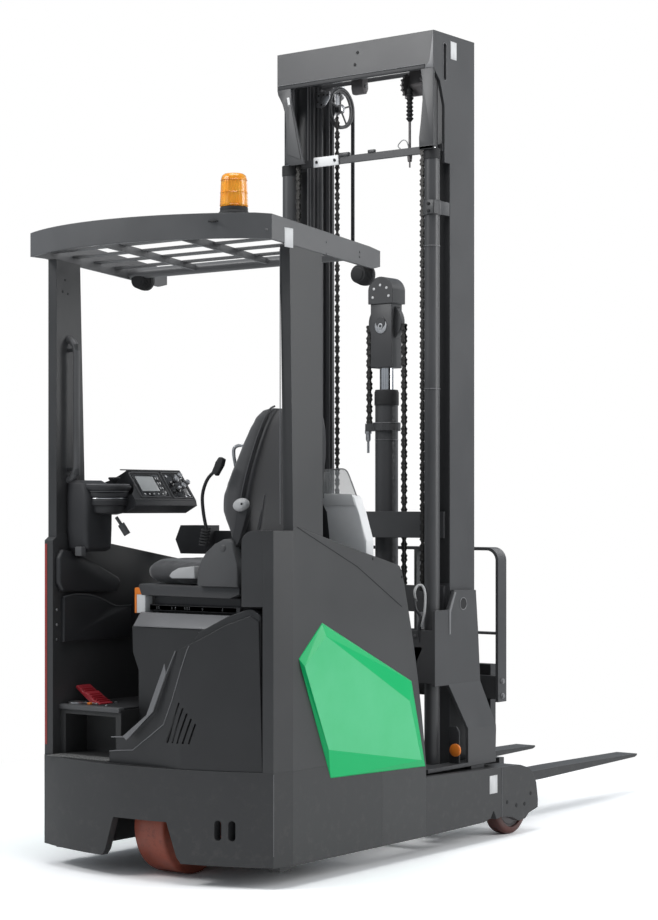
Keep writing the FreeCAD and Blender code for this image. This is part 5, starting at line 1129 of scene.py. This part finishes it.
def hose_wheel():
    """Spoked hose pulley with its bracket, and the hoses that run over it down both sides of the rail."""
    x, y, z = -0.245, 1.408, 2.846
    wheel = Form()
    wheel.ring((x, y, z), RIGHTWARD, 0.0735, 0.0055, 56, 10)
    wheel.ring((x - 0.0085, y, z), RIGHTWARD, 0.076, 0.0026, 56, 8)
    wheel.ring((x + 0.0085, y, z), RIGHTWARD, 0.076, 0.0026, 56, 8)
    wheel.ring((x, y, z), RIGHTWARD, 0.069, 0.004, 56, 8)
    for index in range(5):
        angle = math.radians(18 + 72 * index)
        inner = at(x, y + 0.016 * math.cos(angle), z + 0.016 * math.sin(angle))
        outer = at(x, y + 0.0685 * math.cos(angle), z + 0.0685 * math.sin(angle))
        wheel.sweep([inner, outer], 0.0035, 8)
    wheel.turned((x - 0.012, y, z), RIGHTWARD, [(0, 0.01), (0.003, 0.018), (0.021, 0.018), (0.024, 0.01),
        (0.024, 0)], 28)
    wheel.done("hose_wheel", "inner_stage", "side_cover_grey", 50, replaces=("hose_pulley",))
    Form().turned((x + 0.011, y, z), RIGHTWARD, [(0, 0.014), (0.003, 0.013), (0.005, 0.007), (0.008, 0.007),
        (0.008, 0)], 20).done("hose_wheel_bolt", "inner_stage", "zinc")
    bracket = Form()
    bracket.plate("X", [(1.391, 2.82), (1.391, 2.952), (1.44, 2.962), (1.462, 2.94), (1.458, 2.9),
        (1.428, 2.88), (1.426, 2.826)], -0.2665, -0.2605, 0.001)
    bracket.plate("Y", [(-0.288, 2.842), (-0.288, 2.9), (-0.222, 2.9), (-0.222, 2.872), (-0.242, 2.846),
        (-0.262, 2.836)], 1.3055, 1.3095, 0.001)
    bracket.done("hose_wheel_bracket", "inner_stage", "zinc")
    # Black discs paint the shade inside the bracket's holes.
    Form().studs([(hole_x, 1.305, hole_z) for hole_x, hole_z in ((-0.279, 2.862), (-0.276, 2.886),
        (-0.262, 2.85), (-0.25, 2.888), (-0.232, 2.886))], REARWARD, disc(0.0042, 0.0009, 0.0011)).done(
        "hose_bracket_hole_shade", "inner_stage", "black_rubber")
    hoses = Form()
    out = 0.0835
    for shift in (-0.0045, 0.0045):
        line = [at(x + shift, y - out, 0.75), at(x + shift, y - out, 1.6), at(x + shift, y - out, 2.4)]
        for step in range(17):
            angle = math.pi - math.pi * step / 16
            line.append(at(x + shift, y + out * math.cos(angle), z + out * math.sin(angle)))
        line += [at(x + shift, y + out, 2.5), at(x + shift, y + out, 2.28)]
        hoses.sweep(line, 0.0042, 8)
    hoses.done("mast_hoses", "inner_stage", "hose_rubber")
    clip = Form()
    clip.block((x - 0.012, 1.478, 2.262), (x + 0.012, 1.505, 2.295), 0.003)
    clip.plate("X", [(1.398, 2.269), (1.398, 2.325), (1.404, 2.325), (1.48, 2.289), (1.48, 2.269)],
        x - 0.003, x + 0.003, 0.001)
    clip.done("mast_hose_clip", "inner_stage", "trim_plastic")
    pipes = Form()
    pipe_y, low = 1.3315, 1.7
    for pipe_x, high in ((-0.256, 2.9), (-0.234, 2.86)):
        pipes.tube([(pipe_x, pipe_y, low), (pipe_x, pipe_y, low), (pipe_x, pipe_y, high)], 0.0045, 8)
    pipes.done("mast_pipes", "inner_stage", "zinc")


def stage_rail(form, sign, outer, rear, depth, flange, low, high):
    """One rolled channel of a mast stage, open towards the middle."""
    inner, web = outer - flange, outer - 0.012
    outline = [(outer, rear), (outer, rear + depth), (inner, rear + depth), (inner, rear + depth - 0.014),
        (web, rear + depth - 0.014), (web, rear + 0.014), (inner, rear + 0.014), (inner, rear)]
    form.plate("Z", [(sign * x, y) for x, y in outline], low, high, 0.0015)
    pad = sorted((sign * outer, sign * (outer + 0.0066)))
    form.block((pad[0], rear + 0.02, 0.108), (pad[1], rear + depth - 0.02, 0.228), 0.001)


def stages():
    """The two moving stages: channels, ties and heads that sit up behind the crown."""
    middle = Form()
    for sign in (1, -1):
        stage_rail(middle, sign, 0.352, 1.291, 0.128, 0.062, 0.088, 2.96)
        low, high = sorted((sign * 0.262, sign * 0.286))
        middle.block((low, 1.24, 2.922), (high, 1.3, 2.958), 0.001)
    middle.block((-0.298, 1.291, 0.088), (0.298, 1.301, 0.168), 0.001)
    middle.block((-0.35, 1.18, 2.922), (0.35, 1.262, 2.958), 0.003)
    middle.done("middle_stage_frame", "middle_stage", "mast_paint", 30, replaces=("middle_mast_frame",))
    Form().studs([(sign * RAM_X, RAM_Y, 0.18) for sign in (1, -1)], UP,
        [(0, 0.0165), (0.002, 0.018), (2.743, 0.018), (2.743, 0.0)], 32).done(
        "lift_rod_pair", "middle_stage", "rod_chrome", 40, replaces=("lift_rods",))
    Form().studs([(sign * RAM_X, RAM_Y, 2.604) for sign in (1, -1)], UP,
        [(0, 0.0182), (0, 0.0215), (0.3, 0.0215), (0.31, 0.026), (0.318, 0.026), (0.318, 0.0182)], 32).done(
        "lift_rod_sleeves", "middle_stage", "trim_plastic", 40)
    inner = Form()
    for sign in (1, -1):
        stage_rail(inner, sign, 0.333, 1.311, 0.088, 0.065, 0.088, 2.93)
    for low, high in ((0.088, 0.21), (1.14, 1.24), (2.914, 2.929)):
        inner.block((-0.273, 1.311, low), (0.273, 1.325, high), 0.001)
    inner.block((-0.07, 1.324, 0.12), (0.07, 1.432, 0.15), 0.002)
    inner.done("inner_stage_frame", "inner_stage", "mast_paint", 30, replaces=("inner_mast_frame",))


def crown_brackets():
    """Folded plates that carry the crown on the rails and hide the heads of the lift rods."""
    right = Form()
    right.plate("Y", [(0.3705, 2.896), (0.3705, 2.594), (0.306, 2.594), (0.306, 2.64), (0.314, 2.7),
        (0.322, 2.78), (0.322, 2.85), (0.312, 2.896)], 1.1605, 1.17, 0.002)
    right.block((0.306, 1.1605, 2.594), (0.3705, 1.17, 2.606), 0.001)
    right.done("crown_bracket_right", "reach_carriage", "mast_paint", 30)
    Form().plate("Y", [(-0.3705, 2.896), (-0.366, 2.876), (-0.344, 2.84), (-0.33, 2.8), (-0.325, 2.72),
        (-0.332, 2.64), (-0.326, 2.61), (-0.304, 2.594), (-0.236, 2.594), (-0.246, 2.62), (-0.3, 2.842),
        (-0.304, 2.896)], 1.1605, 1.168, 0.0008).done(
        "crown_bracket_left", "reach_carriage", "mast_paint", 30)
    Form().plate("Y", [(-0.318, 2.64), (-0.252, 2.612), (-0.302, 2.832), (-0.314, 2.834)], 1.158,
        1.1604, 0.0006).done("crown_gusset_left", "reach_carriage", "side_cover_grey")
    Form().plate("Y", [(-0.322, 2.862), (-0.31, 2.862), (-0.29, 2.74), (-0.3, 2.74)], 1.159,
        1.16, 0.0004).done("crown_slit_light", "reach_carriage", "plate_white")
    Form().block((-0.238, 1.2215, 2.588), (-0.118, 1.2285, 2.626), 0.001).done(
        "stay_end_plate", "reach_carriage", "light_cover")
    Form().studs([(x, 1.2217, 2.607) for x in (-0.222, -0.134)], REARWARD,
        head(0.006, 0.003, 0.003, 0.004)).done("stay_end_bolts", "reach_carriage", "black_rubber")


def mast_lines():
    """Light lines that paint highlights on the rails' running edges and on the crown's folds and slot rim,
    black strips that paint the shade in the outer rails' channels and in the crown's holes, and the crown's
    fasteners.
    """
    # Light lines along the rails' running edges paint the highlights they catch.
    for name, body, x, y, top, radius in (
            ("outer_rail_edge_highlights", "reach_carriage", 0.3052, 1.2708, 3.02, 0.0013),
            ("middle_rail_edge_highlights", "middle_stage", 0.3, 1.2838, 2.95, 0.0013),
            ("inner_rail_edge_highlights", "inner_stage", 0.279, 1.305, 2.92, 0.0011)):
        edges = Form()
        for sign in (1, -1):
            edges.tube([(sign * x, y, 0.1), (sign * x, y, top)], radius, 6)
        edges.done(name, body, "bevel_grey")
    # Black strips on the outer rails' rear flanges paint the shade deep in the open channels.
    channel_shade = Form()
    for sign in (1, -1):
        low, high = sorted((sign * 0.3075, sign * 0.369))
        channel_shade.block((low, 1.269, 0.97), (high, 1.2711, 2.585), 0.0008)
    channel_shade.done("rail_channel_shade", "reach_carriage", "black_rubber")
    # Light lines along the crown's lower edge and its right-hand fold paint the highlights they catch.
    crown = Form()
    crown.tube([(-0.366, 1.16, 2.912), (0.33, 1.16, 2.912)], 0.0016, 6)
    crown.plate("Y", [(0.33, 2.897), (0.352, 2.92), (0.368, 3.03), (0.37, 3.034), (0.3705, 2.896)], 1.1604,
        1.1625, 0.0005)
    crown.done("crown_fold_highlights", "reach_carriage", "bevel_grey")
    Form().block((-0.366, 1.1602, 2.8952), (0.332, 1.163, 2.91), 0.001).done(
        "crown_lip", "reach_carriage", "trim_plastic")
    # Black discs paint the shade inside the crown's holes.
    Form().studs([(x, 1.1622, z) for x, z in ((0.02, 2.995), (0.008, 2.95))], REARWARD,
        disc(0.0065, 0.001, 0.0012), 14).done("crown_hole_shade", "reach_carriage", "black_rubber")
    Form().block((0.3708, 1.276, 2.945), (0.3716, 1.316, 3.012), 0.0003).done(
        "crown_blank_plate", "reach_carriage", "plate_white")
    # A light line round the crown's slot paints the highlight on its rim.
    line = []
    for start, z in ((0.0, 2.9883), (math.pi, 2.8683)):
        for step in range(13):
            angle = start + math.pi * step / 12
            line.append(at(0.3712, 1.237 + 0.011 * math.cos(angle), z + 0.011 * math.sin(angle)))
    Form().sweep(line + line[:1], 0.0012, 6).done("crown_slot_rim_highlight", "reach_carriage", "bevel_grey")
    clamp = Form()
    clamp.turned((RAM_X, RAM_Y, 2.35), UP, [(0.0, 0.0305), (0.0, 0.033), (0.055, 0.033),
        (0.055, 0.0305)], 36)
    clamp.block((0.3385, 1.166, 2.352), (0.369, 1.1715, 2.403), 0.001)
    clamp.block((0.366, 1.166, 2.352), (0.3705, 1.272, 2.403), 0.001)
    clamp.done("barrel_clamp", "reach_carriage", "pan_grey")
    Form().studs([(0.345, 1.1662, z) for z in (2.364, 2.391)], REARWARD,
        head(0.006, 0.004, 0.003, 0.005)).done("clamp_bolts", "reach_carriage", "black_rubber")
    ties = Form()
    for z in (1.7, 2.235):
        ties.ring((RAM_X, RAM_Y, z), UP, 0.03, 0.0016, 40, 6)
    ties.done("barrel_ties", "reach_carriage", "bevel_grey")
    Form().studs([(sign * RAM_X, RAM_Y, 2.56) for sign in (1, -1)], UP,
        [(0.0, 0.0292), (0.0, 0.0312), (0.038, 0.0312), (0.0395, 0.028), (0.0395, 0.019)], 36).done(
        "barrel_glands", "reach_carriage", "black_rubber")
    Form().wire([(0.205, 1.238, 2.622), (0.2, 1.232, 2.646), (0.182, 1.23, 2.652), (0.16, 1.232, 2.634),
        (0.168, 1.236, 2.622)], 0.0022, 6).done("stay_tie", "reach_carriage", "knob_grey")
    knots = Form()
    knots.block((0.02, 1.226, 2.619), (0.052, 1.24, 2.632), 0.003)
    knots.block((-0.118, 1.224, 2.618), (-0.07, 1.242, 2.634), 0.004)
    knots.done("stay_clips", "reach_carriage", "pan_grey")


def cog(form, x_low, x_high, y, z, radius, teeth):
    """A toothed disc, square to X."""
    outline = []
    for tooth in range(teeth):
        for share, size in ((0.0, 0.84), (0.25, 0.84), (0.4, 1.0), (0.62, 1.0), (0.78, 0.84)):
            angle = math.radians(360.0 * (tooth + share) / teeth)
            outline.append((y + radius * size * math.cos(angle), z + radius * size * math.sin(angle)))
    form.plate("X", outline, x_low, x_high)


def top_gear():
    """Chain wheels, gaiter and tension rod under the middle stage's head."""
    form = Form()
    cog(form, 0.176, 0.186, 1.272, 2.862, 0.05, 15)
    cog(form, 0.262, 0.272, 1.272, 2.88, 0.046, 15)
    form.plate("X", [(1.262, 2.932), (1.3, 2.932), (1.312, 2.88), (1.296, 2.826), (1.27, 2.822),
        (1.258, 2.86)], 0.19, 0.262, 0.008)
    form.plate("X", [(1.262, 2.932), (1.298, 2.932), (1.306, 2.884), (1.292, 2.862), (1.268, 2.862),
        (1.26, 2.886)], -0.085, -0.03, 0.007)
    form.done("middle_stage_wheels", "middle_stage", "cast_iron")
    hub = Form()
    hub.turned((0.1755, 1.272, 2.862), LEFTWARD, [(0, 0.02), (0.004, 0.019), (0.006, 0.01),
        (0.006, 0.0)], 24)
    hub.turned((-0.03, 1.284, 2.892), RIGHTWARD, head(0.008, 0.003, 0.004, 0.004), 16)
    hub.done("middle_wheel_hubs", "middle_stage", "bevel_grey")
    gaiter = Form()
    profile = [(0.0, 0.006)]
    for fold in range(8):
        profile += [(0.004 + fold * 0.015, 0.0085), (0.0115 + fold * 0.015, 0.015 - 0.0003 * fold)]
    profile += [(0.126, 0.009), (0.132, 0.0)]
    gaiter.turned((0.206, 1.244, 2.722), UP, profile, 20)
    gaiter.done("tension_gaiter", "middle_stage", "black_rubber", 60)
    Form().turned((0.206, 1.244, 2.548), UP, [(0.0, 0.0), (0.0, 0.0032), (0.022, 0.0032),
        (0.022, 0.0078), (0.038, 0.0095), (0.052, 0.0095), (0.052, 0.005), (0.18, 0.005),
        (0.18, 0.0)], 20).done("chain_tension_rod", "middle_stage", "cast_iron")


def head_gear():
    """Cap bolts, the wheel pin's washer and cover plates on the ram's head."""
    Form().block((-0.05, 1.344, 1.802), (0.05, 1.348, 2.052), 0.002).done(
        "head_plate", "free_lift_head", "mast_paint")
    Form().turned((0.0, HEAD_Y, 1.7165), UP, [(0, 0.0266), (0, 0.02712), (0.083, 0.02712),
        (0.083, 0.0266)], 64).done("head_ram_rod", "free_lift_head", "rod_chrome", 40)
    Form().turned((0.0, 1.3442, 1.962), REARWARD, [(0, 0.0285), (0.003, 0.028), (0.0036, 0.024),
        (0.0036, 0.012), (0.0066, 0.011), (0.0066, 0.0)], 40).done(
        "head_pin_washer", "free_lift_head", "zinc")
    Form().turned((0.0, 1.3374, 1.962), REARWARD, disc(0.0045, 0.001, 0.0012), 14).done(
        "head_pin_dot", "free_lift_head", "black_rubber")
    Form().studs([(x, 1.3392, z) for x, z in ((-0.036, 2.075), (-0.03, 2.108), (0.0, 2.122), (0.03, 2.11),
        (0.04, 2.078))], REARWARD, head(0.0055, 0.0016, 0.003, 0.0024), 14).done(
        "head_cap_bolts", "free_lift_head", "plate_white")
    Form().turned((0.0, HEAD_Y, 1.655), UP, [(0.0, 0.0455), (0.0, 0.048), (0.05, 0.048),
        (0.0602, 0.044), (0.0602, 0.0285)], 40).done("free_lift_gland", "inner_stage", "black_rubber")
    # Light rings at the collar's edges paint the highlights they catch.
    collar = Form()
    collar.ring((0.0, HEAD_Y, 1.586), UP, 0.0545, 0.0016, 48, 6)
    collar.ring((0.0, HEAD_Y, 1.52), UP, 0.0455, 0.0012, 48, 6)
    collar.done("collar_highlight_lines", "inner_stage", "bevel_grey")
    bolt = Form()
    bolt.turned((-0.0885, HEAD_Y, 1.515), UP, [(0, 0.0), (0, 0.007), (0.008, 0.01), (0.03, 0.01),
        (0.031, 0.0135), (0.045, 0.0135), (0.045, 0.0)], 16)
    bolt.tube([(-0.0885, HEAD_Y, 1.517), (-0.0885, HEAD_Y, 1.47)], 0.005, 10)
    bolt.done("chain_anchor_bolt", "inner_stage", "zinc")


def carriage_bits():
    """Pin hole, marker, hose loops and bolts of the reach carriage."""
    # A black disc paints the shade inside the pin hole, and a light ring paints the highlight on its rim.
    Form().turned((0.3898, 1.335, 0.892), RIGHTWARD, disc(0.021, 0.0012, 0.0012), 28).done(
        "cheek_pin_hole_shade", "reach_carriage", "black_rubber")
    Form().ring((0.3905, 1.333, 0.892), RIGHTWARD, 0.0225, 0.002, 36, 6).done(
        "cheek_pin_rim_highlight", "reach_carriage", "bevel_grey")
    Form().turned((0.436, 1.2125, 0.352), REARWARD, [(0, 0.024), (0.006, 0.0238), (0.009, 0.019),
        (0.0105, 0.0)], 36).done("cheek_marker", "reach_carriage", "marker_orange")
    Form().plate("Y", [(0.405, 0.302), (0.451, 0.302), (0.451, 0.42), (0.438, 0.44), (0.405, 0.44)], 1.2125,
        1.2195, 0.002).done("cheek_marker_bracket", "reach_carriage", "trim_plastic")
    # A light strip on the cheek's fold paints the highlight along it.
    Form().plate("X", [(1.236, 0.868), (1.274, 0.938), (1.282, 0.936), (1.246, 0.862), (1.246, 0.78),
        (1.236, 0.78)], 0.388, 0.3925, 0.001).done("cheek_fold_highlight", "reach_carriage", "bevel_grey")
    Form().wire([(0.3, 1.15, 0.905), (0.3, 1.14, 0.94), (0.306, 1.15, 0.962), (0.322, 1.16, 0.962),
        (0.334, 1.16, 0.93), (0.334, 1.155, 0.86), (0.322, 1.15, 0.81)], 0.005, 8).done(
        "carriage_hose_loop", "reach_carriage", "knob_grey")
    cable = Form()
    cable.wire([(0.296, 1.15, 0.93), (0.305, 1.14, 0.88), (0.318, 1.15, 0.85), (0.312, 1.155, 0.8),
        (0.3, 1.15, 0.76)], 0.006, 8)
    cable.wire([(0.322, 1.15, 0.85), (0.318, 1.14, 0.8), (0.322, 1.15, 0.742)], 0.005, 8)
    cable.done("carriage_cables", "reach_carriage", "hose_rubber")
    Form().plate("Y", [(0.297, 0.733), (0.328, 0.735), (0.331, 0.728), (0.305, 0.676), (0.297, 0.676)],
        1.143, 1.1442).done("wing_notch_light", "reach_carriage", "knob_grey")
    Form().studs([(x, 1.1425, z) for x, z in ((0.14, 0.735), (0.17, 0.735), (0.14, 0.662), (0.3, 0.775))],
        REARWARD, head(0.006, 0.003, 0.003, 0.004)).done("wing_bolts", "reach_carriage", "side_cover_grey")
    Form().studs([(x, 1.2585, z) for x, z in ((-0.085, 1.19), (-0.066, 1.226), (-0.074, 1.226),
        (-0.082, 1.226))], REARWARD, [(0, 0.0055), (0.008, 0.005), (0.01, 0.0)]).done(
        "tie_bolts", "reach_carriage", "black_rubber")


def backrest_bar():
    """Load guard of flat bar, bent round at its top corners, with a middle post and two rods."""
    half, thick, top, low, corner = 0.39, 0.012, 1.1, 0.5, 0.052
    outer, inner = [(half, low)], [(half - thick, low)]
    for step in range(13):
        angle = math.pi / 2 * step / 12
        outer.append((half - corner + corner * math.cos(angle), top - corner + corner * math.sin(angle)))
        inner.append((half - corner + (corner - thick) * math.cos(angle),
            top - corner + (corner - thick) * math.sin(angle)))
    outer += [(-x, z) for x, z in reversed(outer)]
    inner += [(-x, z) for x, z in reversed(inner)]
    form = Form()
    rows = []
    for (ox, oz), (ix, iz) in zip(outer, inner):
        rows.append([at(ox, 1.579, oz), at(ox, 1.639, oz), at(ix, 1.639, iz), at(ix, 1.579, iz)])
    form.loft(rows)
    form.block((-0.006, 1.579, 0.597), (0.006, 1.639, 1.089), 0.001)
    form.block((-0.38, 1.599, 0.76), (0.38, 1.629, 0.77), 0.001)
    form.done("load_guard_bar", "fork_frame_body", "mast_paint", 30, replaces=("load_backrest",))
    Form().studs([(0.3905, 1.609, z) for z in (0.523, 0.58)], RIGHTWARD,
        [(-0.001, 0.0125), (0.002, 0.0125), (0.003, 0.009), (0.007, 0.009), (0.008, 0)], 6).done(
        "load_guard_bolts", "fork_frame_body", "bevel_grey")


hood_trim()
footwell()
side_walls()
screen_cover()
chassis_bits()
wheels()
guard_bits()
beacon()
lamps()
seat_cushion()
seat_back()
seat_shell()
console()
panel()
chains()
hose_wheel()
stages()
crown_brackets()
mast_lines()
top_gear()
head_gear()
carriage_bits()
backrest_bar()
